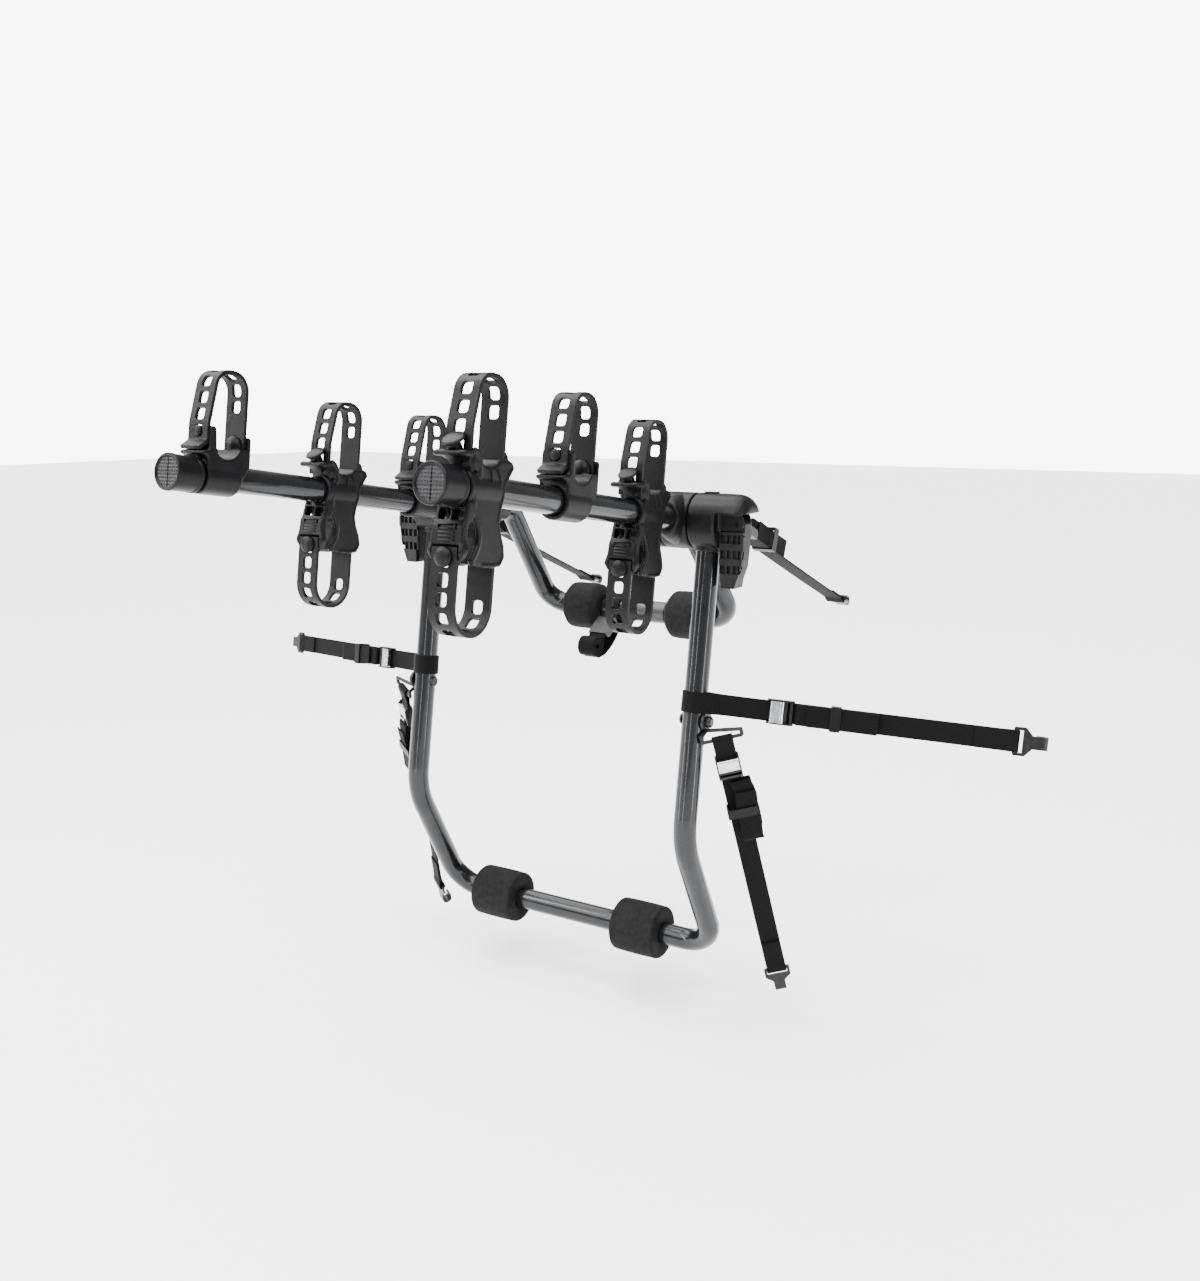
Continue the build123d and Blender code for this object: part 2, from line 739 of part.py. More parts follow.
def hook(length, curl):
    """Flat steel hook with a slotted head. Curl is 1 or -1, the way its end turns over."""
    x = length - hook_length
    half, neck = hook_head / 2, hook_neck / 2
    bar = 2.2
    upper = [(x - bar, half), (x + 11, half), (x + 19, neck)]
    lower = [(a, -b) for a, b in reversed(upper)]
    face = make_face(Plane.XZ * Polyline(*upper, *lower, close=True))
    head = extrude(face, amount=hook_plate / 2, both=True)
    head = fillet(head.edges().filter_by(Axis.Y).group_by(Axis.X)[0], 2)
    head -= block(x + bar, x + bar + 6, -hook_plate, hook_plate, -hook_slot / 2, hook_slot / 2)
    end = x + hook_length + 2
    high = curl * hook_mouth
    line = FilletPolyline((x + 17, 0, 0), (end, 0, 0), (end, high, 0), (end - 11, high, 0), radius=4.9)
    start = Plane(origin=line @ 0, x_dir=(0, 0, 1), z_dir=line % 0)
    return head + sweep(start * Rectangle(hook_neck, hook_plate), path=line)


def leg_bolt():
    """Bolt through a leg, with a low head inside and a domed nut outside."""
    y, z = leg_y(leg_bolt_z), leg_bolt_z
    inner, outer = leg_x - tube_r, leg_x + tube_r
    head = rod_x(7, inner - 2.8, inner, y, z)
    nut = rod_x(7, outer + 4.2, outer + 10, y, z)
    nut = fillet(nut.edges().group_by(Axis.X)[-1], 3)
    return fillet(head.edges().group_by(Axis.X)[0], 1.5) + nut + rod_x(leg_bolt_r, inner, outer + 5, y, z)


def leg_eyelet():
    """Ring plate on a leg's bolt with a three-sided eye for the lower strap."""
    y, z = leg_y(leg_bolt_z), leg_bolt_z
    face = leg_x + tube_r + fit_gap
    plane = bottom_plane()[0]
    across = plane.z_dir * eyelet_spread
    root = Vector(face + 2.5, y, z - 11)
    eye = rod_between(plane.origin - across, plane.origin + across, rod_r)
    for end in (plane.origin - across, plane.origin + across):
        shoulder = end - plane.x_dir * eyelet_shoulder
        eye += rod_between(end, shoulder, rod_r) + rod_between(shoulder, root, rod_r)
    plate = rod_x(11.5, face, face + 3.4, y, z)
    return eye + plate - rod_x(leg_bolt_r + shaft_gap, face - 4, face + 4, y, z)


def stow_points():
    """Line of the stowed strap's tail in the YZ plane, from its roll to the bar."""
    half = web_thickness / 2 + tube_r + fit_gap
    edge = roll_core + roll_turns * roll_pitch
    end = (rear_bar_y - half * cos(radians(20)), rear_bar_z - half * sin(radians(20)))
    foot = (rear_bar_y + roll_drop_y + edge, rear_bar_z + roll_drop_z)
    return foot, (foot[0], foot[1] + 10), end


def stow_plane():
    """Plane of the stowed strap's short run, for its buckle."""
    low, end = stow_points()[1:]
    return strap_plane((stow_x, *low), (stow_x, *end), (-1, 0, 0))


def stow_strap():
    """Spare strap looped on the rear bar, with its tail rolled up."""
    centre_y, centre_z = rear_bar_y + roll_drop_y, rear_bar_z + roll_drop_z
    arcs = []
    for turn in range(2 * roll_turns):
        shift = roll_pitch / 2 * (turn % 2)
        radius = roll_core + roll_pitch / 2 * turn
        arcs.append(CenterArc((centre_y + shift, centre_z), radius, 180 * (turn % 2), 180))
    foot, knee, end = stow_points()
    last = arcs[-1] @ 1
    arcs.append(FilletPolyline((last.X, last.Y), (last.X, knee[1]), end, radius=8))
    line = Plane.YZ * Wire(Curve() + arcs)
    start = Plane(origin=line @ 0, x_dir=(1, 0, 0), z_dir=line % 0)
    tail = Pos(stow_x, 0, 0) * sweep(start * Rectangle(web_width, web_thickness), path=line)
    inner = tube_r + fit_gap
    half = web_width / 2
    loop = rod_x(inner + web_thickness, stow_x - half, stow_x + half, rear_bar_y, rear_bar_z)
    return tail + loop - rod_x(inner, stow_x - half - 1, stow_x + half + 1, rear_bar_y, rear_bar_z)


# Every node's file

def strap_pieces():
    """Webbing, frame, cam, keeper and hook of each kind of strap, on the right side."""
    kinds = {
        "side": (side_plane(), side_buckle_at, side_tail),
        "bottom": (bottom_plane(), bottom_buckle_at, bottom_tail),
        "top": (top_plane(), top_buckle_at, top_tail),
    }
    pieces = {}
    for kind, ((plane, length), buckle_at, tail) in kinds.items():
        place = plane.location
        pieces[kind] = {
            "webbing": place * webbing(kind, length, buckle_at, tail),
            "frame": place * buckle_frame(buckle_at),
            "cam": place * buckle_cam(buckle_at),
            "keeper": place * keeper(kind, buckle_at + tail_start, tail),
            "hook": place * hook(length, 1 if kind == "top" else -1),
        }
    return pieces


def both(part):
    """A part and its mirror image."""
    return [part, mirrored(part)]


def write_frames():
    save("main_frame_tube", main_tube())
    save("rear_frame_tube", rear_tube())
    save("blank_sleeve", blank_sleeve())
    save("hub_bolts", *both(hub_bolt()))
    save("lever_pins", *both(lever_pin()))
    save("hub_washers", *[disc for washer in hub_washers() for disc in both(washer)])
    save("rear_hubs", *both(rear_hub()))
    for name, side in SIDES.items():
        save(f"lower_pad_{name}", lower_pad(side))
        save(f"rear_pad_{name}", rear_pad(side))
        save(f"hub_housing_{name}", on_side(hub_housing(), side))
        save(f"hub_lever_{name}", on_side(hub_lever(), side))
        save(f"hub_button_{name}", on_side(hub_button(), side))


def write_arms():
    simple, steady = simple_cradle(), steady_cradle()
    plain, high, low_loop = simple_strap(), sway_strap(), lower_strap()
    for name, side in SIDES.items():
        place = arm_place(side)
        save(f"arm_tube_{name}", place * arm_tube())
        save(f"arm_cap_{name}", place * arm_cap())
        save(f"arm_hub_{name}", place * arm_hub())
        for row, where in enumerate(("front", "middle", "rear")):
            spot = cradle_place(side, row)
            is_steady = (row + (side > 0)) % 2 == 1
            save(f"cradle_{name}_{where}", spot * (steady if is_steady else simple))
            save(f"upper_strap_{name}_{where}", spot * (high if is_steady else plain))
            if is_steady:
                save(f"lower_strap_{name}_{where}", spot * low_loop)


def write_straps():
    pieces = strap_pieces()
    for kind, parts in pieces.items():
        for name, side in SIDES.items():
            save(f"{kind}_webbing_{name}", on_side(parts["webbing"], side))
            save(f"{kind}_cam_{name}", on_side(parts["cam"], side))
    for node, piece in (("buckle_frames", "frame"), ("strap_keepers", "keeper"), ("strap_hooks", "hook")):
        save(node, *[part for parts in pieces.values() for part in both(parts[piece])])
    save("leg_bolts", *both(leg_bolt()))
    save("leg_eyelets", *both(leg_eyelet()))
    place = stow_plane()[0].location
    save("stow_strap", stow_strap())
    save("stow_frame", place * buckle_frame(stow_buckle_at))
    save("stow_cam", place * buckle_cam(stow_buckle_at))


write_frames()
write_arms()
write_straps()
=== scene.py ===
from math import asin, atan, cos, degrees, pi, radians, sin

import bmesh
import bpy
from mathutils import Matrix, Vector


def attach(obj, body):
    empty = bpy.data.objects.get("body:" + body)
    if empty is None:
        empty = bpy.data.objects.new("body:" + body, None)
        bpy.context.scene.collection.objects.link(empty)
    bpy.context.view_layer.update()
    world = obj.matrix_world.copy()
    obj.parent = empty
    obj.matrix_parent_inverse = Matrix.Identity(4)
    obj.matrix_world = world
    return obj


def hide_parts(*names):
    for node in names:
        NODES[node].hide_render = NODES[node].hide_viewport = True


bl_info = {
    "name": "Car bike rack",
    "version": (1, 0, 0),
    "blender": (4, 5, 0),
    "location": "View3D > Sidebar > Rack",
    "description": "Dresses the frame of a strap-on bike rack with foam, webbing and moulded detail",
    "category": "Object",
}

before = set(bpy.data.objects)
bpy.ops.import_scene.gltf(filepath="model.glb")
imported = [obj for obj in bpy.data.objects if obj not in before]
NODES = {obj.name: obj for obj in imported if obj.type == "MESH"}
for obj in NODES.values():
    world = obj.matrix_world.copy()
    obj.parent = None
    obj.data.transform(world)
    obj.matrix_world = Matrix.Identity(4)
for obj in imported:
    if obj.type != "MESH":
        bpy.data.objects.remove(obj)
MM = 0.001
SIDES = {"left": -1, "right": 1}
STEADY = {("left", "middle"), ("right", "front"), ("right", "rear")}

# The photograph's camera
PHOTO_SIZE = (1200, 1281)
EYE = (0.8722, -1.3575, 0.6919)
TURN = 31.72
TILT = -10.65
FOCUS_PX = 1238.03
CENTRE_Y_PX = 635.95
SENSOR = 36.0

# Sizes that follow the frame's own, in millimetres
TUBE_R = 14.3
LEG_X = 208.0
PIVOT_Y, PIVOT_Z = -31.0, 553.0
ARM_RISE = 8.4
ARM_X = 172.0
ARM_REACH = 483.0
STATIONS = {
    "left": {"front": 422.0, "middle": 244.0, "rear": 84.0},
    "right": {"front": 423.0, "middle": 265.0, "rear": 112.0},
}
LEG_LEAN = 60.0 / 386.0
REAR_BAR = (156.0, 401.0)
LOWER_PAD_LENGTH, LOWER_PAD_R, LOWER_PAD_X = 65.0, 34.7, 115.0
LOWER_PAD_SHIFT = 16.0
REAR_PAD_LENGTH, REAR_PAD_R, REAR_PAD_X = 58.0, 33.0, 84.0
PAD_BORE = TUBE_R + 0.3
HUB_R = 34.0
WEB_WIDTH = 25.0
WEB_THICKNESS = 1.8
HOOK_LENGTH = 33.0
TAIL_START = 36.0

FINISH = {}


# Sizes and colours that a user may change

def shade(name, words, code):
    """A colour setting, whose default is a hex colour in sRGB."""
    parts = [int(code[i:i + 2], 16) / 255 for i in (1, 3, 5)]
    return bpy.props.FloatVectorProperty(
        name=name, description=words, default=parts, subtype="COLOR_GAMMA", min=0.0, max=1.0)


def number(name, words, value, low=0.0):
    """A setting that is a plain number."""
    return bpy.props.FloatProperty(name=name, description=words, default=value, min=low)


class RackLook(bpy.types.PropertyGroup):
    """Colours of the finishes and strength of the light"""
    tube: shade("Tube", "Powder coat of the frame and the arms", "#191a1c")
    moulding: shade("Mouldings", "Nylon of the cradles, caps and hubs", "#0b0b0c")
    lever: shade("Levers", "Nylon of the clamping levers", "#151516")
    rubber: shade("Rubber", "Straps of the cradles", "#0e0e0e")
    foam: shade("Foam", "Rollers on the bars", "#0f0f0f")
    webbing: shade("Webbing", "Polyester straps", "#0a0a0b")
    ambient: number("Ambient", "Light from all round", 0.55)
    backdrop: number("Backdrop", "Brightness of the backdrop itself", 8.0)
    overhead: number("Overhead", "Soft light from above, in W/m2", 11.5)


class RackFoam(bpy.types.PropertyGroup):
    """Shape of the foam rollers"""
    chamfer: number("Chamfer", "Bevel of the rear rollers' ends, in mm", 8.0)
    crown: number("Crown", "Swell at a roller's middle, in mm", 0.5)


class RackWebbing(bpy.types.PropertyGroup):
    """Sizes of the webbing"""
    width: number("Width", "Width of the webbing, in mm", WEB_WIDTH, 5.0)
    thickness: number("Thickness", "Thickness of the webbing, in mm", WEB_THICKNESS, 0.5)


class RackMoulding(bpy.types.PropertyGroup):
    """How finely the mouldings are rounded"""
    grain: number("Fineness", "Step of the cradles' skin, in mm", 0.9, 0.4)
    rounds: bpy.props.IntProperty(
        name="Rounding", description="Passes that soften the cradles' edges", default=5, min=0)


def tones(colour, spread=0.22):
    """A darker and a lighter shade of a setting's colour, as hex codes."""
    return ["#" + "".join(f"{min(255, round(part * 255 * (1 + way * spread))):02x}" for part in colour)
            for way in (-1, 1)]


# Nodes and colours

def linear(code):
    """A hex colour in sRGB as linear red, green, blue and alpha."""
    parts = [int(code[i:i + 2], 16) / 255 for i in (1, 3, 5)]
    return [c / 12.92 if c <= 0.04045 else ((c + 0.055) / 1.055) ** 2.4 for c in parts] + [1]


def add_node(tree, kind, values=None, links=None, **settings):
    """One node, with its settings, the values of its sockets and the outputs that feed them."""
    made = tree.nodes.new(kind)
    for name, value in settings.items():
        setattr(made, name, value)
    for socket, value in (values or {}).items():
        made.inputs[socket].default_value = value
    for socket, output in (links or {}).items():
        tree.links.new(output, made.inputs[socket])
    return made


def toned(tree, shader, level, stops):
    """Base colour that follows a level through two stops of place and hex colour."""
    ramp = add_node(tree, "ShaderNodeValToRGB", links={"Fac": level})
    for element, (place, code) in zip(ramp.color_ramp.elements, stops):
        element.position = place
        element.color = linear(code)
    tree.links.new(ramp.outputs["Color"], shader.inputs["Base Color"])


def start_material(name, roughness, metallic=0, where="Object", **sockets):
    """A material's tree, with its shader linked to the output, and its coordinates in metres."""
    material = bpy.data.materials.new(name)
    material.use_nodes = True
    tree = material.node_tree
    tree.nodes.clear()
    values = {"Roughness": roughness, "Metallic": metallic, **sockets}
    shader = add_node(tree, "ShaderNodeBsdfPrincipled", values)
    add_node(tree, "ShaderNodeOutputMaterial", links={"Surface": shader.outputs["BSDF"]})
    return material, tree, shader, add_node(tree, "ShaderNodeTexCoord").outputs[where]


def noise(tree, where, size_mm, detail=3, rough=0.5):
    """Level of a noise whose lumps are about one size in millimetres."""
    values = {"Scale": 1000 / size_mm, "Detail": detail, "Roughness": rough}
    return add_node(tree, "ShaderNodeTexNoise", values, {"Vector": where}).outputs["Fac"]


def bands(tree, where, pitch_mm, way, values=None):
    """Height of ribs that are a pitch in millimetres apart, square to a direction."""
    scale = 1000 / pitch_mm / 20 * pi
    wave = add_node(tree, "ShaderNodeTexWave", {"Scale": scale, **(values or {})}, {"Vector": where},
                    wave_type="BANDS", bands_direction=way)
    return wave.outputs["Fac"]


def mixed(tree, operation, first, second):
    """Two levels put together by one operation."""
    return add_node(tree, "ShaderNodeMath", links={0: first, 1: second}, operation=operation).outputs["Value"]


def mottled(tree, shader, where, dark, light, size_mm, low=0.35, high=0.65):
    """Base colour that wanders between two shades."""
    toned(tree, shader, noise(tree, where, size_mm), [(low, dark), (high, light)])


def bumped(tree, shader, height, depth_mm, strength=1, under=None):
    """Bump from a height output, on top of another bump where there is one."""
    links = {"Height": height}
    if under is not None:
        links["Normal"] = under.outputs["Normal"]
    bump = add_node(tree, "ShaderNodeBump", {"Distance": depth_mm * MM, "Strength": strength}, links)
    tree.links.new(bump.outputs["Normal"], shader.inputs["Normal"])
    return bump


def roughened(tree, shader, cloud, low, high):
    """Roughness that wanders with a noise between two values."""
    rough = add_node(tree, "ShaderNodeMapRange", {"To Min": low, "To Max": high}, {"Value": cloud})
    tree.links.new(rough.outputs["Result"], shader.inputs["Roughness"])


# Finishes

def powder_coat(colour):
    """Steel tube under a dark grey metallic powder coat."""
    # The flakes and clear layer give crisp white streaks along the tube, over a faint orange peel.
    material, tree, shader, where = start_material(
        "gunmetal_powder_coat", 0.24, 0.6,
        **{"Coat Weight": 0.3, "Coat Roughness": 0.05, "Specular IOR Level": 0.3})
    mottled(tree, shader, where, *tones(colour, 0.12), 22)
    roughened(tree, shader, noise(tree, where, 0.9, 1), 0.2, 0.32)
    bumped(tree, shader, noise(tree, where, 4, 2), 0.03, 0.5)
    return material


def moulded_nylon(name, colour, roughness=0.34):
    """Glass-filled nylon from a spark-textured mould."""
    # The texture is finer on the real one, about 0.3 mm. It is drawn coarser so that it shows.
    material, tree, shader, where = start_material(
        name, roughness, **{"IOR": 1.53, "Specular IOR Level": 0.1})
    mottled(tree, shader, where, *tones(colour), 16)
    roughened(tree, shader, noise(tree, where, 9), roughness - 0.07, roughness + 0.12)
    bumped(tree, shader, noise(tree, where, 0.9, 2, 0.6), 0.12, 0.55)
    return material


def strap_rubber(colour):
    """Moulded rubber strap, with a dull bloom."""
    # The bloom is a pale haze in patches, and the surface has a very fine tooth.
    material, tree, shader, where = start_material(
        "strap_rubber", 0.42, **{"IOR": 1.52, "Specular IOR Level": 0.1})
    mottled(tree, shader, where, *tones(colour, 0.3), 12, 0.3, 0.8)
    bumped(tree, shader, noise(tree, where, 0.8), 0.08, 0.5)
    return material


def closed_cell_foam(colour):
    """EVA foam roller, cut and ground."""
    # Ground foam shows burst cells of about half a millimetre, drawn a little coarser, and no gloss.
    material, tree, shader, where = start_material(
        "closed_cell_foam", 0.85, **{"IOR": 1.45, "Specular IOR Level": 0.15})
    mottled(tree, shader, where, *tones(colour, 0.3), 7)
    cells = add_node(tree, "ShaderNodeTexVoronoi", {"Scale": 1000 / 1.4}, {"Vector": where})
    under = bumped(tree, shader, cells.outputs["Distance"], 0.25, 0.6)
    bumped(tree, shader, noise(tree, where, 11), 0.8, 0.3, under)
    return material


def woven_polyester(colour):
    """Polyester webbing with a twill face and thick selvedges, its ribs painted lighter and its hollows
    darker as painted light and shade.
    """
    # U runs along the strap and V across it. Ribs are 1.1 mm apart.
    material, tree, shader, where = start_material(
        "woven_polyester", 0.7, where="UV",
        **{"Sheen Weight": 0.02, "Sheen Roughness": 0.4, "Specular IOR Level": 0.06})
    ribs = bands(tree, where, 1.1, "DIAGONAL", {"Distortion": 0.5, "Detail": 1})
    threads = bands(tree, where, 0.9, "Y", {"Distortion": 0.3})
    weave = mixed(tree, "MULTIPLY", ribs, threads)
    # The weave's raised ribs are painted lighter and its hollows darker: painted highlight and painted shade
    # over the real twill.
    toned(tree, shader, weave, zip((0, 1), tones(colour, 0.6)))
    bumped(tree, shader, weave, 0.2, 0.6)
    return material


def zinc_plate():
    """Pressed steel, zinc plated and bright."""
    # The plate is a little cloudy, with fine marks from its drawing.
    material, tree, shader, where = start_material("zinc_plate", 0.24, 1)
    mottled(tree, shader, where, "#a7aaae", "#c8cacd", 6)
    bumped(tree, shader, noise(tree, where, 1.5), 0.02, 0.5)
    return material


def dipped_black():
    """Steel with a black electro-dipped coat."""
    # A thin coat shows the metal's gloss at edges, and small dust nibs.
    material, tree, shader, where = start_material(
        "dipped_black_steel", 0.34, **{"Coat Weight": 0.04, "Coat Roughness": 0.2, "Specular IOR Level": 0.2})
    mottled(tree, shader, where, "#0b0b0c", "#171718", 5)
    bumped(tree, shader, noise(tree, where, 1.2, 2), 0.05, 0.5)
    return material


def vinyl_sleeve():
    """Blank satin film round the bar."""
    # Film is smoother than the paint beside it, with slow ripples where it was stretched on.
    material, tree, shader, where = start_material("blank_vinyl_film", 0.33, IOR=1.5)
    mottled(tree, shader, where, "#0f0f10", "#17171a", 14)
    bumped(tree, shader, noise(tree, where, 18, 1), 0.1, 0.5)
    return material


# Words in a node's name that tell its finish. The others are nylon.
FINISH_WORDS = {
    "coat": ("frame_tube", "arm_tube"),
    "foam": ("pad",),
    "rubber": ("upper_strap", "lower_strap"),
    "weave": ("webbing", "stow_strap"),
    "zinc": ("_cam",),
    "film": ("blank_sleeve",),
    "dip": ("buckle_frames", "stow_frame", "strap_hooks", "bolts", "lever_pins", "hub_washers", "eyelets"),
}


def finish_of(name):
    """Which finish a node of the frame has."""
    for finish, words in FINISH_WORDS.items():
        if any(word in name for word in words):
            return finish
    return "nylon"


def put_material(piece, material):
    """One material over a whole piece."""
    piece.data.materials.clear()
    piece.data.materials.append(material)


class RACK_OT_finishes(bpy.types.Operator):
    """Give every piece of the frame its finish"""
    bl_idname = "rack.finishes"
    bl_label = "Frame finishes"

    def execute(self, context):
        look = context.scene.rack_look
        FINISH.update({
            "coat": powder_coat(look.tube),
            "foam": closed_cell_foam(look.foam),
            "rubber": strap_rubber(look.rubber),
            "weave": woven_polyester(look.webbing),
            "zinc": zinc_plate(),
            "film": vinyl_sleeve(),
            "dip": dipped_black(),
            "nylon": moulded_nylon("moulded_nylon", look.moulding),
            "lever": moulded_nylon("lever_nylon", look.lever, 0.36),
        })
        for name, node in NODES.items():
            put_material(node, FINISH[finish_of(name)])
        return {"FINISHED"}


# Stage

FLOOR_HALF = 14
FLOOR_Z = -0.09

# Narrow lights that draw the streaks along the tubes: place, aim, size and power
STRIPS = {
    "left_strip": ((-1.5, -1.6, 0.7), (0, 0, 0.3), (0.09, 2.6), 34),
    "right_strip": ((1.9, -0.3, 0.6), (0, 0, 0.3), (0.1, 2.6), 26),
    "front_strip": ((0.1, -2.4, 0.6), (0, 0, 0.3), (0.06, 2.4), 20),
    "long_strip": ((-0.25, -0.25, 2.2), (-0.2, -0.25, 0.5), (0.16, 2.4), 30),
    "cross_strip": ((0, -1.3, 2), (0, 0, 0.2), (2.6, 0.1), 24),
}


def mesh_of(name, bm):
    """A mesh from a bmesh, which it uses up."""
    mesh = bpy.data.meshes.new(name)
    bm.to_mesh(mesh)
    bm.free()
    return mesh


def placed(name, data):
    """A new object in the scene."""
    made = bpy.data.objects.new(name, data)
    bpy.context.scene.collection.objects.link(made)
    return made


def photo_camera(scene):
    """The camera that took the photograph."""
    data = bpy.data.cameras.new("photo_camera")
    data.sensor_width = SENSOR
    data.lens = SENSOR * FOCUS_PX / PHOTO_SIZE[1]
    data.shift_y = (CENTRE_Y_PX - PHOTO_SIZE[1] / 2) / PHOTO_SIZE[1]
    camera = placed("photo_camera", data)
    camera.location = EYE
    camera.rotation_euler = (radians(90 + TILT), 0, radians(TURN))
    scene.camera = camera


def studio_floor():
    """Pale floor below the hanging rack."""
    bm = bmesh.new()
    bmesh.ops.create_grid(bm, x_segments=1, y_segments=1, size=FLOOR_HALF)
    bmesh.ops.translate(bm, verts=bm.verts, vec=(0, 0, FLOOR_Z))
    material = start_material("pale_floor", 0.9, **{"Base Color": linear("#fdfdfd")})[0]
    floor = placed("studio_floor", mesh_of("studio_floor", bm))
    put_material(floor, material)


def studio_sky(look):
    """White surroundings, brighter to the camera than as light."""
    world = bpy.data.worlds.new("studio")
    world.use_nodes = True
    tree = world.node_tree
    tree.nodes.clear()
    seen = add_node(tree, "ShaderNodeLightPath").outputs["Is Camera Ray"]
    levels = {"To Min": look.ambient, "To Max": look.backdrop}
    glow = add_node(tree, "ShaderNodeMapRange", levels, {"Value": seen}).outputs["Result"]
    sky = add_node(tree, "ShaderNodeBackground", {"Color": linear("#ffffff")}, {"Strength": glow})
    add_node(tree, "ShaderNodeOutputWorld", links={"Surface": sky.outputs["Background"]})
    return world


def overhead_light(power):
    """Broad soft light from above."""
    sun = bpy.data.lights.new("overhead", "SUN")
    sun.energy = power
    sun.angle = radians(100)
    placed("overhead", sun).rotation_euler = (radians(12), radians(-20), 0)


def area_light(name, place, aim, size, power):
    """Soft rectangular light at a place, pointed at another."""
    data = bpy.data.lights.new(name, "AREA")
    data.shape = "RECTANGLE"
    data.size, data.size_y = size
    data.energy = power
    light = placed(name, data)
    light.location = place
    light.rotation_euler = (Vector(aim) - Vector(place)).to_track_quat("-Z", "Y").to_euler()


class RACK_OT_stage(bpy.types.Operator):
    """Make the floor, the soft studio light and the photograph's camera"""
    bl_idname = "rack.stage"
    bl_label = "Stage"

    def execute(self, context):
        look = context.scene.rack_look
        photo_camera(context.scene)
        studio_floor()
        context.scene.world = studio_sky(look)
        overhead_light(look.overhead)
        for name, (place, aim, size, power) in STRIPS.items():
            area_light(name, place, aim, size, power)
        return {"FINISHED"}


# Meshes

def mesh_piece(name, bm, material):
    """An object made from a bmesh that is in millimetres in the rack's frame."""
    bmesh.ops.scale(bm, verts=bm.verts, vec=(MM, MM, MM))
    mesh = mesh_of(name, bm)
    mesh.shade_smooth()
    mesh.materials.append(material)
    return placed(name, mesh)


def fresh(bm, before):
    """The vertices that are not in an earlier set."""
    return [vert for vert in bm.verts if vert not in before]


def faced_out(bm, before):
    """Turn the faces made since an earlier set of vertices outwards, and give back the new vertices."""
    made = fresh(bm, before)
    bmesh.ops.recalc_face_normals(bm, faces=list({face for vert in made for face in vert.link_faces}))
    return made


def lathe(bm, profile, steps=64, place=None):
    """Turn a closed profile of (along, radius) pairs about the X axis, then put it in its place."""
    before = set(bm.verts)
    ring = [bm.verts.new((along, radius, 0)) for along, radius in profile]
    edges = [bm.edges.new((a, b)) for a, b in zip(ring, ring[1:] + ring[:1])]
    bmesh.ops.spin(bm, geom=ring + edges, cent=(0, 0, 0), axis=(1, 0, 0), angle=2 * pi, steps=steps,
                   use_merge=True)
    bmesh.ops.remove_doubles(bm, verts=fresh(bm, before), dist=0.001)
    made = faced_out(bm, before)
    if place is not None:
        bmesh.ops.transform(bm, matrix=place, verts=made)


def prism(bm, outline, low, high, rounds=(), plane="YZ"):
    """Solid with an outline of pairs, from one level to another, with its far edge rounded by insets."""
    before = set(bm.verts)
    ring = [(low, a, b) if plane == "YZ" else (a, low, b) for a, b in outline]
    face = bm.faces.new([bm.verts.new(point) for point in ring])
    grown = bmesh.ops.extrude_face_region(bm, geom=[face])["geom"]
    top = [item for item in grown if isinstance(item, bmesh.types.BMFace)]
    way = 1 if high > low else -1
    for inward, outward in ((0, abs(high - low)), *rounds):
        if inward:
            bmesh.ops.inset_region(bm, faces=top, thickness=inward, use_even_offset=True)
        move = (way * outward, 0, 0) if plane == "YZ" else (0, way * outward, 0)
        bmesh.ops.translate(bm, verts=list({vert for face in top for vert in face.verts}), vec=move)
    faced_out(bm, before)


def loft(bm, rings):
    """Solid through rings of the same number of points."""
    before = set(bm.verts)
    loops = []
    for ring in rings:
        verts = [bm.verts.new(point) for point in ring]
        loops.append([bm.edges.new((a, b)) for a, b in zip(verts, verts[1:] + verts[:1])])
    for near, far in zip(loops, loops[1:]):
        bmesh.ops.bridge_loops(bm, edges=near + far)
    for end in (loops[0], loops[-1]):
        bmesh.ops.contextual_create(bm, geom=end)
    faced_out(bm, before)


def oblong(half_x, front, back, z, corner):
    """Ring of a rectangle with cut corners, level at a height."""
    return [(-half_x + corner, front, z), (half_x - corner, front, z), (half_x, front + corner, z),
            (half_x, back - corner, z), (half_x - corner, back, z), (-half_x + corner, back, z),
            (-half_x, back - corner, z), (-half_x, front + corner, z)]


def both_ends(profile):
    """A turned profile from one end to the middle, carried on to the other end as its mirror image."""
    return profile + [(-along, radius) for along, radius in reversed(profile)]


def stack(bm, *rows):
    """Solid through level rings, each given as its half width, front, back, height and corner."""
    loft(bm, [oblong(*row) for row in rows])


def on_circle(centre, radius, angle):
    """Point round a circle, angle in degrees."""
    return centre[0] + radius * cos(radians(angle)), centre[1] + radius * sin(radians(angle))


def arc(centre, radius, start, end, steps=8):
    """Points round part of a circle."""
    return [on_circle(centre, radius, start + (end - start) * k / steps) for k in range(steps + 1)]


def modify(piece, kind, **settings):
    """Add a modifier with its settings."""
    made = piece.modifiers.new(kind.lower(), kind)
    for name, value in settings.items():
        setattr(made, name, value)


def cut_box(holder, low, high):
    """Cut a box out of a piece, and give back the box."""
    room = bmesh.new()
    bmesh.ops.create_cube(room, size=1)
    bmesh.ops.scale(room, verts=room.verts, vec=[b - a for a, b in zip(low, high)])
    bmesh.ops.translate(room, verts=room.verts, vec=[(a + b) / 2 for a, b in zip(low, high)])
    box = placed("pocket", mesh_of("pocket", room))
    modify(holder, "BOOLEAN", operation="DIFFERENCE", solver="EXACT", object=box)
    return box


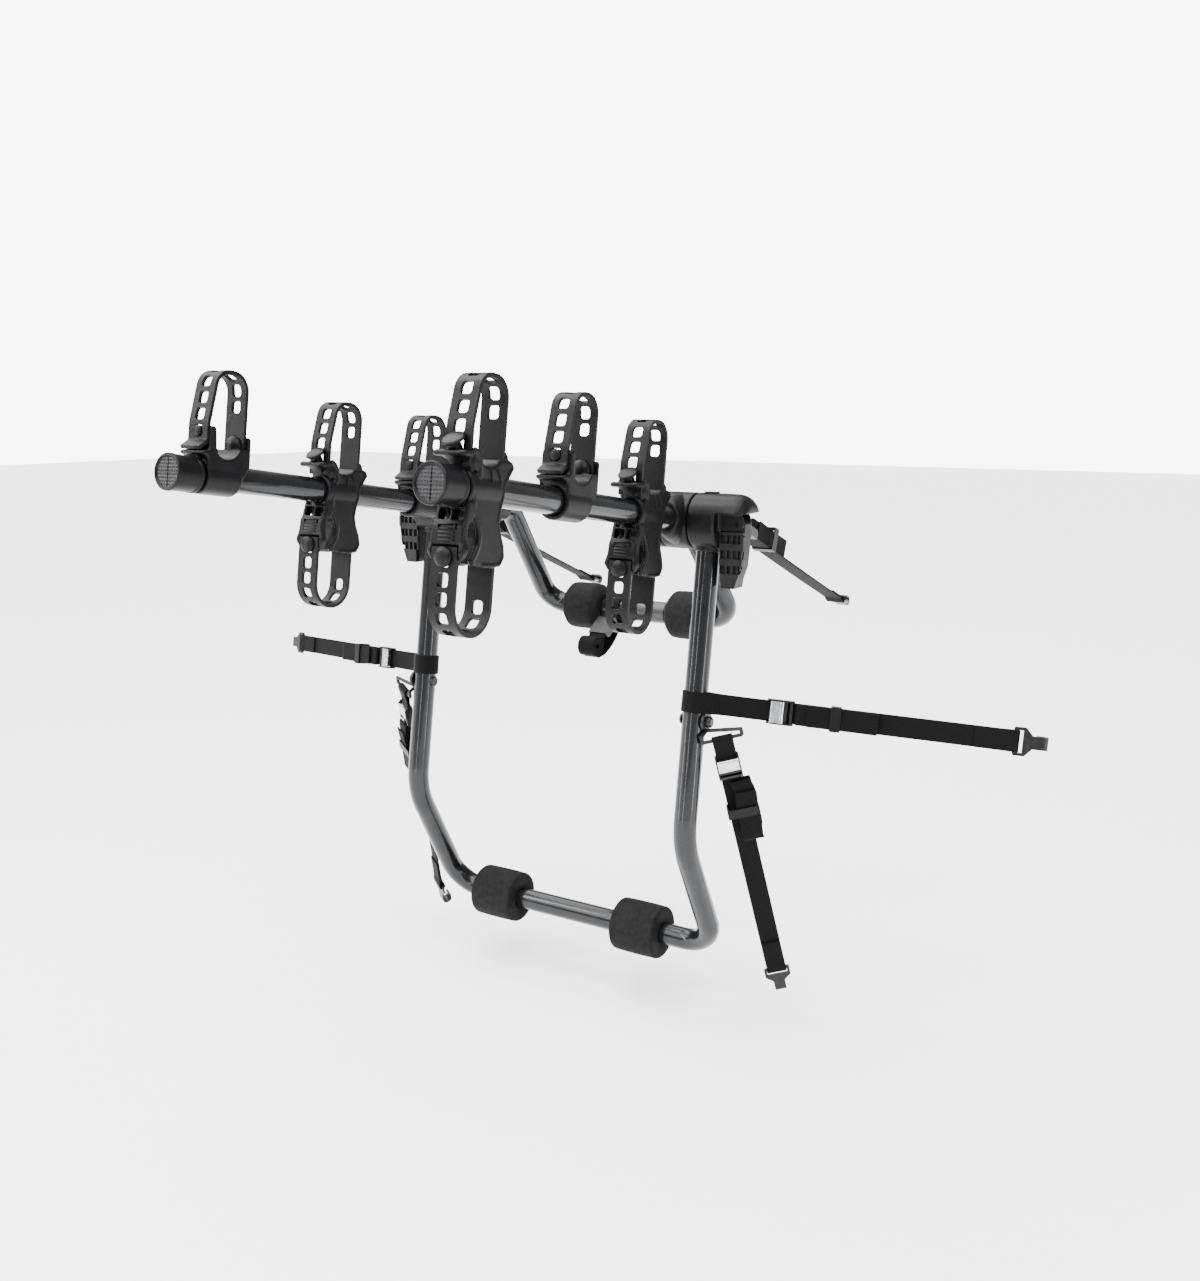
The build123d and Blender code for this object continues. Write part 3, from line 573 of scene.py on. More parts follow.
def moulded(bm, voxel, rounds, keep, pocket=None):
    """One rounded skin over closed shells that overlap, less a box, as a new bmesh in millimetres."""
    mesh = mesh_of("shells", bm)
    holder = placed("shells", mesh)
    modify(holder, "REMESH", mode="VOXEL", voxel_size=voxel)
    modify(holder, "SMOOTH", factor=0.5, iterations=rounds)
    modify(holder, "DECIMATE", ratio=keep)
    spent = [mesh]
    if pocket is not None:
        spent.append(cut_box(holder, *pocket).data)
    made = bpy.data.meshes.new_from_object(holder.evaluated_get(bpy.context.evaluated_depsgraph_get()))
    bm = bmesh.new()
    bm.from_mesh(made)
    for old in spent + [made]:
        bpy.data.meshes.remove(old)
    return bm


def placed_copy(name, bm, place, material, crease=50):
    """A piece from a copy of a bmesh in millimetres, set in its place, with sharp edges kept."""
    copy = bm.copy()
    bmesh.ops.transform(copy, matrix=place, verts=copy.verts)
    if place.to_3x3().determinant() < 0:
        bmesh.ops.reverse_faces(copy, faces=copy.faces)
    piece = mesh_piece(name, copy, material)
    piece.data.set_sharp_from_angle(angle=radians(crease))
    return piece


# Foam

def roller(half, radius, bore, chamfer, crown):
    """Closed profile of a foam roller, from its bore outwards and back."""
    soft = 3.5
    slope = radius - chamfer
    points = [(-half, bore), (-half, slope - soft)]
    if chamfer > 0:
        points += [(-half + 0.6, slope - 0.8), (-half + 1.6, slope + 0.8)]
        points += [(-half + chamfer - 1.5, radius - 1.8), (-half + chamfer, radius - 0.5)]
        points += [(-half + chamfer + 2.5, radius)]
    else:
        points += arc((-half + soft, radius - soft), soft, 90, 180, 6)[::-1]
    points += [(-half * 0.4, radius + crown)]
    return both_ends(points)


class RACK_OT_foam(bpy.types.Operator):
    """Make the four foam rollers on the bars"""
    bl_idname = "rack.foam"
    bl_label = "Foam rollers"

    def execute(self, context):
        sizes = context.scene.rack_foam
        for side, way in SIDES.items():
            kinds = {
                f"lower_pad_{side}": (LOWER_PAD_LENGTH, LOWER_PAD_R, 0,
                                      (way * LOWER_PAD_X - LOWER_PAD_SHIFT, 0, 0), "main_frame"),
                f"rear_pad_{side}": (REAR_PAD_LENGTH, REAR_PAD_R, sizes.chamfer,
                                     (way * REAR_PAD_X, *REAR_BAR), "rear_frame"),
            }
            for node, (length, radius, chamfer, place, body) in kinds.items():
                bm = bmesh.new()
                lathe(bm, roller(length / 2, radius, PAD_BORE, chamfer, sizes.crown))
                bmesh.ops.translate(bm, verts=bm.verts, vec=place)
                pad = mesh_piece("foam_" + node, bm, FINISH["foam"])
                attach(pad, body)
                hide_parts(node)
        return {"FINISHED"}


# Webbing

EYE_LOOP_R = 3.8
LEG_LOOP_R = 15.9


def leg_y(z):
    """Where a leg's axis is at a height above the knee."""
    return PIVOT_Y + (z - PIVOT_Z) * LEG_LEAN


def strap_frame(anchor, end, across, side):
    """Matrix and length of a strap: X along it, Y through it, Z across its width."""
    start, ahead = Vector(anchor), Vector(end) - Vector(anchor)
    length = ahead.length
    ahead.normalize()
    width = (Vector(across) - ahead * Vector(across).dot(ahead)).normalized()
    through = width.cross(ahead)
    turn = Matrix((ahead, through, width)).transposed().to_4x4()
    place = Matrix.Translation(start) @ turn
    return Matrix.Scale(side, 4, (1, 0, 0)) @ place, length


def turned(centre, radius, start, end, steps):
    """Control points round part of a circle, set out so that the smooth line keeps to it."""
    step = (end - start) / steps
    far = radius / cos(radians(step / 2))
    return [on_circle(centre, far, start + step * (k + 0.5)) for k in range(steps)]


def smooth_line(points, fineness=6):
    """Points along the smooth line that a list of corners draws, in a strap's plane."""
    data = bpy.data.curves.new("line", "CURVE")
    data.dimensions = "3D"
    spline = data.splines.new("NURBS")
    spline.points.add(len(points) - 1)
    for point, place in zip(spline.points, points):
        point.co = (*place, 0, 1) if len(place) == 2 else (*place, 1)
    spline.order_u = 3
    spline.use_endpoint_u = True
    spline.resolution_u = fineness
    holder = bpy.data.objects.new("line", data)
    mesh = bpy.data.meshes.new_from_object(holder)
    line = [v.co.copy() for v in mesh.vertices]
    bpy.data.curves.remove(data)
    bpy.data.meshes.remove(mesh)
    return line


def add_ribbon(bm, points, place):
    """Lay webbing along a smooth line. Its UV map is in metres."""
    line = smooth_line(points)
    width = bpy.context.scene.rack_webbing.width
    grid = bmesh.ops.create_grid(bm, x_segments=len(line) - 1, y_segments=4, size=0.5)
    layer = bm.loops.layers.uv.verify()
    run = [0]
    for a, b in zip(line, line[1:]):
        run.append(run[-1] + (b - a).length)
    spots = {}
    for vert in grid["verts"]:
        row = round((vert.co.x + 0.5) * (len(line) - 1))
        spots[vert] = (run[row] * MM, vert.co.y * width * MM)
        vert.co = place @ (line[row] + Vector((0, 0, vert.co.y * width)))
    for face in {face for vert in grid["verts"] for face in vert.link_faces}:
        for loop in face.loops:
            loop[layer].uv = spots[loop.vert]


def thickened(piece, thickness):
    """Give webbing its thickness, with soft selvedges."""
    modify(piece, "SOLIDIFY", thickness=thickness * MM, offset=0)
    modify(piece, "BEVEL", width=0.35 * thickness * MM, segments=2, limit_method="ANGLE",
           angle_limit=radians(50))


def zigzag(near, far):
    """Corners of the spare webbing, folded four times on top of a strap."""
    layers = [2, 5.3, 8.7, 12.1]
    points = [(near - 3, 1.9), (near + 8, 2)]
    for k, (x, swell) in enumerate([(far, 0), (near, 0), (far + 6, 0.6)]):
        way = 1 if k % 2 == 0 else -1
        low, high = layers[k], layers[k + 1]
        points += [(x - way * 14, low), (x - way * 3, low - 0.4 - swell), (x + way * 1.6, (low + high) / 2),
                   (x - way * 3, high + 0.4 + swell), (x - way * 14, high)]
        points.append(((near + far) / 2, high - 0.2))
    return points + [(near + 22, layers[3]), (near + 12, layers[3] + 0.5)]


def eye_run(end):
    """Corners of a strap's end, down round the hook's bar and sewn back over itself."""
    ahead = [(end - 26, 0), (end - 13, -0.2), (end - 6, -2.6)]
    back = [(end - 6, 3.4), (end - 13, 2.1), (end - 26, 2), (end - 44, 2)]
    return ahead + turned((end, 0), EYE_LOOP_R, -100, 100, 5) + back


def leg_loop():
    """Corners of webbing that comes back from the leg under itself, and round the leg."""
    under = [(52, -2), (40, -2), (28, -2.6)]
    return under + turned((0, 0), LEG_LOOP_R, -58, -302, 7) + [(28, 0.8), (40, 0)]


def rod_loop():
    """Corners of webbing that is sewn round a rod at its start."""
    back = [(44, 2), (26, 2), (13, 2.1), (6, 3.4)]
    return back + turned((0, 0), EYE_LOOP_R, 80, 280, 5) + [(6, -2.6), (13, -0.2), (26, 0)]


# Each strap's anchor, its hook's end, the way across it, where its buckle starts and how long its folds are
STRAPS = {
    "side": ((LEG_X, leg_y(339), 339), (589, 60, 312), (0, -LEG_LEAN, -1), 86, 86),
    "bottom": ((LEG_X + TUBE_R + 24, leg_y(317), 299), (282, 48, -60), (-0.85, -0.53, 0), 22, 74),
    "top": ((209, 9, 549), (218, 396, 395), (1, 0, 0), 30, 96),
}


class RACK_OT_webbing(bpy.types.Operator):
    """Make the six webbing straps with their folded tails"""
    bl_idname = "rack.webbing"
    bl_label = "Webbing straps"

    def execute(self, context):
        for kind, (anchor, end, across, buckle, tail) in STRAPS.items():
            for side, way in SIDES.items():
                place, length = strap_frame(anchor, end, across, way)
                stop = length - HOOK_LENGTH
                bm = bmesh.new()
                start = leg_loop() if kind == "side" else rod_loop()
                add_ribbon(bm, start + [(60, 0), (stop * 0.6, -0.8)] + eye_run(stop), place)
                near = buckle + TAIL_START
                folds = zigzag(near, near + tail)
                if kind == "bottom":
                    folds = [(x, y, -9 - 5 * sin(2 * pi * (x - near) / tail) ** 2) for x, y in folds]
                spot = place
                if kind == "top":
                    spot = place @ Matrix.Translation((0, 13.3, -6.5)) @ Matrix.Rotation(radians(90), 4, "X")
                add_ribbon(bm, folds, spot)
                strap = mesh_piece(f"{kind}_strap_{side}", bm, FINISH["weave"])
                thickened(strap, context.scene.rack_webbing.thickness)
                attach(strap, "main_frame")
                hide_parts(f"{kind}_webbing_{side}")
        return {"FINISHED"}


# Cradles

# Radii of the ring round the tube, half widths of a cradle and its core, and the steps of a rounded rim
BORE = 14.95
RING = 19.5
HALF = 18.5
CORE = HALF - 2.3
RIM = ((0.5, 1), (0.7, 0.7), (0.9, 0.4))
CRADLE_KEEP = 0.45


def on_y(y, z=0):
    """Matrix that stands a turned shape along Y, at a place."""
    return Matrix.Translation((0, y, z)) @ Matrix.Rotation(radians(90), 4, "Z")


def clamp_ring(bm):
    """Ring round the arm's tube, with rounded lips."""
    half = 23
    lathe(bm, both_ends([(-half, BORE), (-half, RING - 1.2), (-half + 1.2, RING)]), 64, on_y(0))


def bead(bm, line, x, radius):
    """Rounded ridge along a line in the YZ plane."""
    rings = []
    for k, (y, z) in enumerate(line):
        (y0, z0), (y1, z1) = line[max(k - 1, 0)], line[min(k + 1, len(line) - 1)]
        side = Vector((0, z1 - z0, y0 - y1)).normalized()
        middle = Vector((x, y, z))
        turns = [2 * pi * step / 12 for step in range(12)]
        rings.append([middle + Vector((cos(t), 0, 0)) * radius + side * radius * sin(t) for t in turns])
    loft(bm, rings)


def four(inner, outer, front_in, front_out, back, z):
    """Ring of four points, level at a height, with a slanting front."""
    return [(inner, front_in, z), (outer, front_out, z), (outer, back, z), (inner, back, z)]


def on_both_sides(bm, *rows):
    """A solid through rings of four points and its mirror image across the cradle."""
    for way in SIDES.values():
        loft(bm, [[(way * x, y, z) for x, y, z in four(*row)] for row in rows])


def steady_body(bm):
    """Two flanks with a ridge along each edge, and the saddle and the tongue's core between them."""
    saddle = arc((3, 39.5), 19, 214, 326)
    top = [(-13, 29)] + saddle + [(35, 30), (39.5, 27.5), (41.5, 23.5)]
    back = [(34, 15), (30.5, 7), (28.5, -5), (25, -18), (23.5, -28), (26, -37), (31, -47), (35, -58),
            (35.5, -64), (31, -69)]
    front = [(-12, -71), (-15, -68.5), (-14, -62), (-8.5, -54), (-4.5, -44), (-4.5, -36), (-9.5, -29),
             (-15.5, -22), (-17.5, -15), (-14.5, -3), (-11, 8), (-10.5, 16)]
    front_ridge = [(-20, 34), (-14, 31), (-10.5, 26), (-9.5, 15), (-12, 4), (-15.5, -8), (-16.5, -17),
                   (-12.5, -25), (-6, -34), (-4, -42), (-5, -52), (-9, -60), (-13, -66), (-11, -69.5)]
    back_ridge = [(36, 27), (39.5, 23.5), (33, 14), (28.5, 7), (27, -5), (23.5, -18), (22, -28), (25, -38),
                  (31, -50), (33.5, -60), (29, -67.5), (16, -69.5), (2, -69.5)]
    for way in SIDES.values():
        prism(bm, top + back + [(18, -71.5)] + front, way * (BORE + 0.1), way * (HALF - 3.2), RIM)
        bead(bm, front_ridge, way * (HALF - 3), 3.1)
        bead(bm, back_ridge, way * (HALF - 2.6), 2.4)
    core = [(-12, 15.4), (-13, 29)] + saddle + [(35, 29), (39, 26), (40, 23), (32, 15.4)]
    prism(bm, core, -CORE, CORE)
    core = [(-9, -15.4), (21, -15.4), (20, -28), (23, -38), (31, -58), (31, -67), (18, -69.5), (-5, -69.5),
            (-4, -60), (0, -44), (0, -36), (-7, -27)]
    prism(bm, core, -CORE, CORE)


def steady_shelf(bm):
    """Shelf in front of the saddle with its tilted stud, and the clasp behind the strap's foot."""
    stack(bm, (18, -37, -27, 26.4, 3), (19, -38.5, -25, 28.2, 3), (18.8, -38, -25, 30.6, 3),
          (17.4, -36, -27, 32, 3))
    stack(bm, (12, -30, -12, 25, 3), (15, -31, -12, 28, 3), (15, -31, -12, 31, 3),
          (12, -28, -12, 33.5, 3))
    # rounded barrel below the shelf, a gusset and the stud's foot
    stack(bm, (16.5, -19, -8, 15.4, 4), (17, -22, -8, 22, 4), (16.5, -22, -8, 28, 4),
          (14.5, -19.5, -8, 32.5, 4))
    stack(bm, (8, -23.5, -11, 15.6, 2), (9, -25, -11, 21.5, 2), (15, -31, -11, 28, 3))
    stack(bm, (7, -33, -19.5, 31, 3), (6, -34, -22, 37, 3), (5, -34, -25, 41, 2))
    tilt = Matrix.Rotation(radians(38.5), 4, "X") @ Matrix.Rotation(radians(-90), 4, "Y")
    stud = [(-1.6, 0), (-1.6, 10.4), (-0.4, 11.6), (1, 11.4), (2, 10), (2.6, 6), (2.8, 0)]
    lathe(bm, stud, 48, Matrix.Translation((0, -30.8, 41.8)) @ tilt)
    stack(bm, (15.5, 28.6, 34, 22, 1.6), (15.5, 28.9, 34.6, 33, 1.6), (13.5, 29.4, 33, 37, 1.4))


def steady_tongue(bm):
    """Tongue below the arm: rails and a rib beside the windows, panel, shoulders and the lower stud."""
    on_both_sides(bm, (14, 18.3, -24.5, -23.5, -13, -13), (14, 18.3, -26, -25, -14, -21),
                  (13.5, 18.4, -28.4, -27.4, -18, -31))
    stack(bm, (1.9, -25.6, -16, -17, 0.6), (1.6, -26.8, -16, -26, 0.6), (2.2, -28.6, -18, -32, 0.6))
    stack(bm, (14.5, -25.4, -17, -17.5, 1), (13.8, -25.7, -17, -19.2, 1))
    stack(bm, (18.2, -28.2, -20, -30, 1.5), (18.2, -31.2, -22, -35.5, 1.5),
          (18.6, -31.8, -23, -45, 1.5), (19.6, -31.6, -24, -52.5, 1.5), (20, -29.2, -23.5, -53.5, 1.5),
          (20.3, -29, -23, -58.5, 1.5), (17.5, -29, -23.5, -64, 1.5), (14, -29, -24, -68.5, 1.5),
          (12.5, -29, -24.5, -72, 1.5))
    on_both_sides(bm, (15.2, 19.4, -31.4, -31, -25, -50), (15.4, 20.9, -33.4, -32, -25, -56),
                  (15.4, 21, -33.4, -32, -25, -60), (15.2, 17, -31.5, -31, -25, -66))
    stud = [(0, 0), (0, 9.2), (-1.2, 9.9), (-3, 9.2), (-4.6, 6), (-5.2, 0)]
    lathe(bm, stud, 48, on_y(-33, -64))
    lathe(bm, [(2, 0), (2, 6), (-1, 6), (-1, 0)], 24, on_y(-31, -64))


def steady_shells():
    """Closed shells of a steadying cradle, about the arm's axis with Y towards the car."""
    bm = bmesh.new()
    clamp_ring(bm)
    steady_body(bm)
    steady_shelf(bm)
    steady_tongue(bm)
    return bm


def flank_ridge(bm, way, line):
    """Raised curved ridge on a flank, along a line in the YZ plane."""
    rings = []
    for k, (y, z) in enumerate(line):
        lift = 1.5 if 0 < k < len(line) - 1 else 0.15
        ahead, back = line[min(k + 1, len(line) - 1)], line[max(k - 1, 0)]
        across = Vector((0, -(ahead[1] - back[1]), ahead[0] - back[0])).normalized()
        base = Vector((way * (HALF - 1.5), y, z))
        crest = base + Vector((way * (0.35 + lift), 0, 0))
        rings.append([base - across, crest - across * 0.45, crest + across * 0.45, base + across])
    loft(bm, rings)


def steady_trim(bm):
    """Fine ribs on a steadying cradle's tongue, a frame round its plate and curved ridges on its flanks."""
    for level in (-41.5, -45, -48.5):
        stack(bm, (8.8, -33, -30.5, level - 0.8, 0.4), (9, -33.4, -30.5, level, 0.4),
              (8.8, -33, -30.5, level + 0.8, 0.4))
    for low, high in ((-38.6, -37.6), (-34.4, -33.4)):
        stack(bm, (10.2, -33, -29.5, low, 0.4), (10.2, -32.4, -29.5, high, 0.4))
    for x in (-10.2, 9.2):
        loft(bm, [four(x, x + 1, front, front, -29.5, z) for front, z in ((-33, -38.6), (-32.4, -33.4))])
    for way in SIDES.values():
        flank_ridge(bm, way, [(0, 21), (3.2, 19.4), (6, 15.5), (8, 8), (9, -0.6)])
        flank_ridge(bm, way, [(10, 23), (15.5, 19.5), (20, 13.5), (24, 5)])


def simple_shells():
    """Closed shells of a plain cradle, with its post, saddle, back wall and end stud."""
    bm = bmesh.new()
    clamp_ring(bm)
    top = [(-21.8, 29), (-21.8, 50), (-20.4, 52), (-15.6, 52), (-14, 50), (-12.6, 36)]
    top += arc((1, 37.8), 19, 227, 340) + [(20, 31.5), (29, 31.5), (29.2, 45), (31, 46), (33.6, 43.5)]
    foot = [(-24, 19), (-31, 22), (-31.5, 25), (-24, 27)]
    for way in SIDES.values():
        prism(bm, top + [(34, 14), (30, 6), (22, -7), (-20, -7), (-22, 8)] + foot,
              way * (BORE + 0.1), way * (HALF - 2.1), RIM)
    prism(bm, top + [(34, 16), (30, 15.4), (-21, 15.4), (-24, 20)] + foot[1:], -CORE, CORE)
    # gusset in front of the post, and the small button that the strap's tail hangs on
    stack(bm, (13, -30, -18, 22, 3), (9, -27.5, -18, 29, 3), (6, -24.5, -18, 38, 2))
    button = [(1, 0), (1, 5.4), (-4.4, 5.4), (-4.6, 6.6), (-6, 6.2), (-6.6, 3), (-6.8, 0)]
    lathe(bm, button, 32, on_y(-19.8, 46))
    # domed end stud in front of the strap's foot, and two lugs behind it
    dome = [(4, 0), (4, 6), (0.2, 6), (0.2, 11.6), (-0.8, 12.1), (-3, 11), (-5.4, 7.8),
            (-6.8, 4), (-7.2, 0)]
    lathe(bm, dome, 56, on_y(24.8, 35))
    for z in (24, 38):
        stack(bm, (12.5, 31, 35.6, z - 3.2, 1.6), (13.5, 31, 36.8, z, 2), (12.5, 31, 35.6, z + 3.2, 1.6))
    return bm


def arm_spot(side, reach=0):
    """Matrix of a place along an arm, with Y along the tube."""
    rise = radians(ARM_RISE)
    spot = (SIDES[side] * ARM_X, PIVOT_Y - reach * cos(rise), PIVOT_Z + reach * sin(rise))
    return Matrix.Translation(spot) @ Matrix.Rotation(-rise, 4, "X")


class RACK_OT_cradles(bpy.types.Operator):
    """Make the six moulded cradles on the arms"""
    bl_idname = "rack.cradles"
    bl_label = "Cradles"

    def execute(self, context):
        sizes = context.scene.rack_moulding
        steady, simple = [moulded(shells(), sizes.grain, sizes.rounds, CRADLE_KEEP)
                          for shells in (steady_shells, simple_shells)]
        steady_trim(steady)
        for side in SIDES:
            for row, reach in STATIONS[side].items():
                sways = (side, row) in STEADY
                cradle = placed_copy(f"moulded_cradle_{side}_{row}", steady if sways else simple,
                                     arm_spot(side, reach), FINISH["nylon"])
                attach(cradle, f"steady_{side}_{row}" if sways else f"arm_{side}")
                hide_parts(f"cradle_{side}_{row}")
        steady.free()
        simple.free()
        return {"FINISHED"}


# Caps and hubs

# Step of a hub's skin in mm, passes that soften it, and the share of its faces that is kept
HUB_SKIN = (1, 3, 0.4)
FACE_R = 15.6


def grid_face():
    """Nylon with a fine square grid moulded in, for the caps' faces, its raised lines painted lighter as a
    painted highlight.
    """
    # The grid is 1.8 mm apart on faces square to the arm, so the pattern is turned with the arm's rise.
    material, tree, shader, where = start_material(
        "gridded_nylon_painted_highlight", 0.4, **{"IOR": 1.53, "Specular IOR Level": 0.2})
    turn = add_node(tree, "ShaderNodeMapping", {"Rotation": (radians(ARM_RISE), 0, 0)},
                    {"Vector": where})
    grid = mixed(tree, "MAXIMUM", *[bands(tree, turn.outputs["Vector"], 1.8, way) for way in "XZ"])
    # The grid's raised lines are painted lighter than the hollows between them: painted highlight and painted
    # shade over the moulded grid.
    toned(tree, shader, grid, [(0.75, "#060607"), (1, "#29292b")])
    bumped(tree, shader, grid, 0.5, 0.9)
    return material


def cap_shape():
    """Moulded cap of an arm's end, with a rim, a recessed face and a raised cross."""
    bm = bmesh.new()
    face = -ARM_REACH
    profile = [(1.6, 0), (1.6, FACE_R), (0.4, 16.4), (0, 17.2), (0, 18.6), (0.8, 19.5), (2, 19.7),
               (4.4, 19.7), (5.2, 19), (29, 18.9), (30, 19.6), (33, 19.6), (34, 18.4), (34, 0)]
    lathe(bm, [(face + along, radius) for along, radius in profile], 96, on_y(0))
    for half_x, half_z in ((15.4, 0.55), (0.55, 15.4)):
        rings = []
        for y, cut in ((face + 1.7, 0), (face + 0.9, 0.2)):
            x, z = half_x - cut, half_z - cut
            rings.append([(-x, y, -z), (x, y, -z), (x, y, z), (-x, y, z)])
        loft(bm, rings)
    return bm


def oval(half_x, half_z, y, steps=32):
    """Oval ring that stands square to Y."""
    return [(half_x * cos(2 * pi * k / steps), y, half_z * sin(2 * pi * k / steps)) for k in range(steps)]


def arm_hub_shells():
    """Barrel of an arm's hub, drawn out into a round nose over the tube."""
    bm = bmesh.new()
    half = 18.7
    lathe(bm, both_ends([(-half, 0), (-half, 32.4), (-half + 1.8, HUB_R)]), 96)
    nose = ((15.6, 16, -50), (17.4, 18.6, -49), (18, 21, -46), (18, 25, -38),
            (18, 28.6, -26), (18, 31, -12), (18, 32, 0))
    loft(bm, [oval(*row) for row in nose])
    return bm


class RACK_OT_hubs(bpy.types.Operator):
    """Make the moulded caps and hubs of the two arms"""
    bl_idname = "rack.hubs"
    bl_label = "Caps and arm hubs"

    def execute(self, context):
        barrel = moulded(arm_hub_shells(), *HUB_SKIN)
        ends = cap_shape()
        grid = grid_face()
        for side in SIDES:
            arm = arm_spot(side)
            hub = placed_copy(f"moulded_hub_{side}", barrel, arm, FINISH["nylon"], 35)
            cap = placed_copy(f"moulded_cap_{side}", ends, arm, FINISH["nylon"], 35)
            cap.data.materials.append(grid)
            for polygon in cap.data.polygons:
                spot = arm.inverted() @ (polygon.center / MM)
                if spot.y < -ARM_REACH + 1.65 and (spot.x ** 2 + spot.z ** 2) ** 0.5 < FACE_R - 0.6:
                    polygon.material_index = 1
            for piece, node in ((hub, "arm_hub"), (cap, "arm_cap")):
                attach(piece, f"arm_{side}")
                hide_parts(f"{node}_{side}")
        barrel.free()
        ends.free()
        return {"FINISHED"}


# Housings and levers

# Room above the release button, in the right housing
BUTTON_POCKET = ((200.6, -36.4, 581.6), (217.4, -25.6, 594))
LEVER_PIN = (252, PIVOT_Y - 8, PIVOT_Z)
LEVER_EDGE = ((-76, -3), (-50, 6), (-28, 8), (0, 8))
COLLAR_Z = 521


def hood(bm):
    """Upper half of the housing's end, that rounds down over the lever."""
    rings = []
    for x, radius in ((222, HUB_R), (240, HUB_R), (247, 33.6), (252, 32.4), (256.5, 30), (260, 26.6),
                      (262.2, 22.5), (262.8, 18.5)):
        low = degrees(asin(12 / radius))
        rings.append([(x, PIVOT_Y + a, PIVOT_Z + b) for a, b in arc((0, 0), radius, low, 180 - low, 24)])
    loft(bm, rings)


def cheeks(bm):
    """Two plates beside the lever's pin, and the web between them."""
    front, back = PIVOT_Y - 20, PIVOT_Y + 4
    plate = [(218, 545), (218, 566), (256, 566), (258.5, 560)]
    plate += [(252 + a, 553 + b) for a, b in arc((0, 0), 8, 20, -90, 6)]
    for y in (front, back - 4):
        prism(bm, plate, y, y + 4, plane="XZ")
    prism(bm, [(225, 545), (225, 566), (228, 566), (228, 545)], front, back, plane="XZ")


def strap_lug(bm):
    """Two ears and the rod between them, that the top strap is sewn round."""
    ear = [(PIVOT_Y, 540), (9, 543), (14, 545), (15.4, 549), (14, 553), (9, 555), (PIVOT_Y, 562)]
    for low in (192, 222):
        prism(bm, ear, low, low + 4)
    lathe(bm, [(193, 0), (193, 2.4), (225, 2.4), (225, 0)], 24, Matrix.Translation((0, 9, 549)))


def housing_shells():
    """Fixed end of the hub with its leg collar, in the right side's own place."""
    bm = bmesh.new()
    barrel = [(191.6, 0), (191.6, 32.4), (193.2, HUB_R), (226, HUB_R), (227.5, 32), (227.5, 0)]
    lathe(bm, barrel, 96, Matrix.Translation((0, PIVOT_Y, PIVOT_Z)))
    hood(bm)
    cheeks(bm)
    strap_lug(bm)
    lean = Matrix.Rotation(-atan(LEG_LEAN), 4, "X") @ Matrix.Rotation(radians(90), 4, "Y")
    lathe(bm, [(-8, 0), (-8, 16.8), (2.6, 16.4), (4, 15.2), (4, 0)], 48,
          Matrix.Translation((LEG_X, leg_y(COLLAR_Z), COLLAR_Z)) @ lean)
    return bm


def lever_edge(z):
    """Where the lever's outer edge is at a height."""
    for (low, near), (high, far) in zip(LEVER_EDGE, LEVER_EDGE[1:]):
        if low <= z <= high:
            return near + (far - near) * (z - low) / (high - low)


def lever_band(bm, low, high, left, start, end):
    """Band across the lever between two heights, from one depth to another."""
    outline = [(left, low), (lever_edge(low), low), (lever_edge(high), high), (left, high)]
    prism(bm, outline, start, end, [(0.35, 0.35)], "XZ")


def lever_shapes():
    """Clamping lever about its pin on the right side, with three rows of finger grooves and their bars."""
    bm = bmesh.new()
    foot = LEVER_EDGE[0][0]
    blade = [(-20, 8), (0, 8), (8, 0), (8, -28), (6, -50), (-3, foot), (-20, foot), (-23, -68), (-23, 4)]
    prism(bm, blade, 7.7, -7.7, plane="XZ")
    lever_band(bm, foot, -9.4, -22.6, 12, 7.7)
    for low, high in ((-12.6, -9.4), (-31, -22.6), (-49, -40.6)):
        lever_band(bm, low, high, -22.9, -7.5, -11.7)
    lever_band(bm, foot, -58.6, -20, -7.5, -11.7)
    for low, high in ((-22.8, -12.4), (-40.8, -30.8), (-58.8, -48.8)):
        for left, right in ((-22.9, -21.4), (-15.6, -12.8), (-8, -5.2), (-0.4, 1)):
            prism(bm, [(left, low), (right, low), (right, high), (left, high)], -7.5, -10.9, plane="XZ")
    prism(bm, [(4.4, -54), (7.3, -28), (8.6, -27.5), (8.6, -14), (5, -12)], -7.5, -12.4, plane="XZ")
    return bm


class RACK_OT_housings(bpy.types.Operator):
    """Make the hub housings and their clamping levers"""
    bl_idname = "rack.housings"
    bl_label = "Housings and levers"

    def execute(self, context):
        house = moulded(housing_shells(), *HUB_SKIN, BUTTON_POCKET)
        lever = lever_shapes()
        pin = Matrix.Translation(LEVER_PIN)
        for side, way in SIDES.items():
            mirror = Matrix.Scale(way, 4, (1, 0, 0))
            shell = placed_copy(f"moulded_housing_{side}", house, mirror, FINISH["nylon"], 40)
            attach(shell, "main_frame")
            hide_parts(f"hub_housing_{side}")
            grip = placed_copy(f"moulded_lever_{side}", lever, mirror @ pin, FINISH["lever"], 25)
            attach(grip, f"lever_{side}")
            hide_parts(f"hub_lever_{side}")
        house.free()
        lever.free()
        return {"FINISHED"}


# Stowed strap

STOW_X, STOW_Y, STOW_Z = -36, 86, 358
ROLL_TURNS = 4
BAR_LOOP_R = 15.6
BAR_SLOPE = radians(20)
# Turns a strap's own plane into one across the bar
ACROSS_BAR = ((0, 0, 1, 0), (1, 0, 0, 0), (0, 1, 0, 0), (0, 0, 0, 1))


def strap_roll():
    """Corners of the tail's slightly uneven roll, from its core outwards."""
    steps = ROLL_TURNS * 14
    points = []
    for k in range(steps + 1):
        share = k / steps
        angle = 360 * ROLL_TURNS * share - 360 * ROLL_TURNS
        radius = 3.4 + 11.6 * share + 0.5 * sin(5.1 * share * ROLL_TURNS)
        points.append(on_circle((STOW_Y, STOW_Z), radius, angle))
    return points


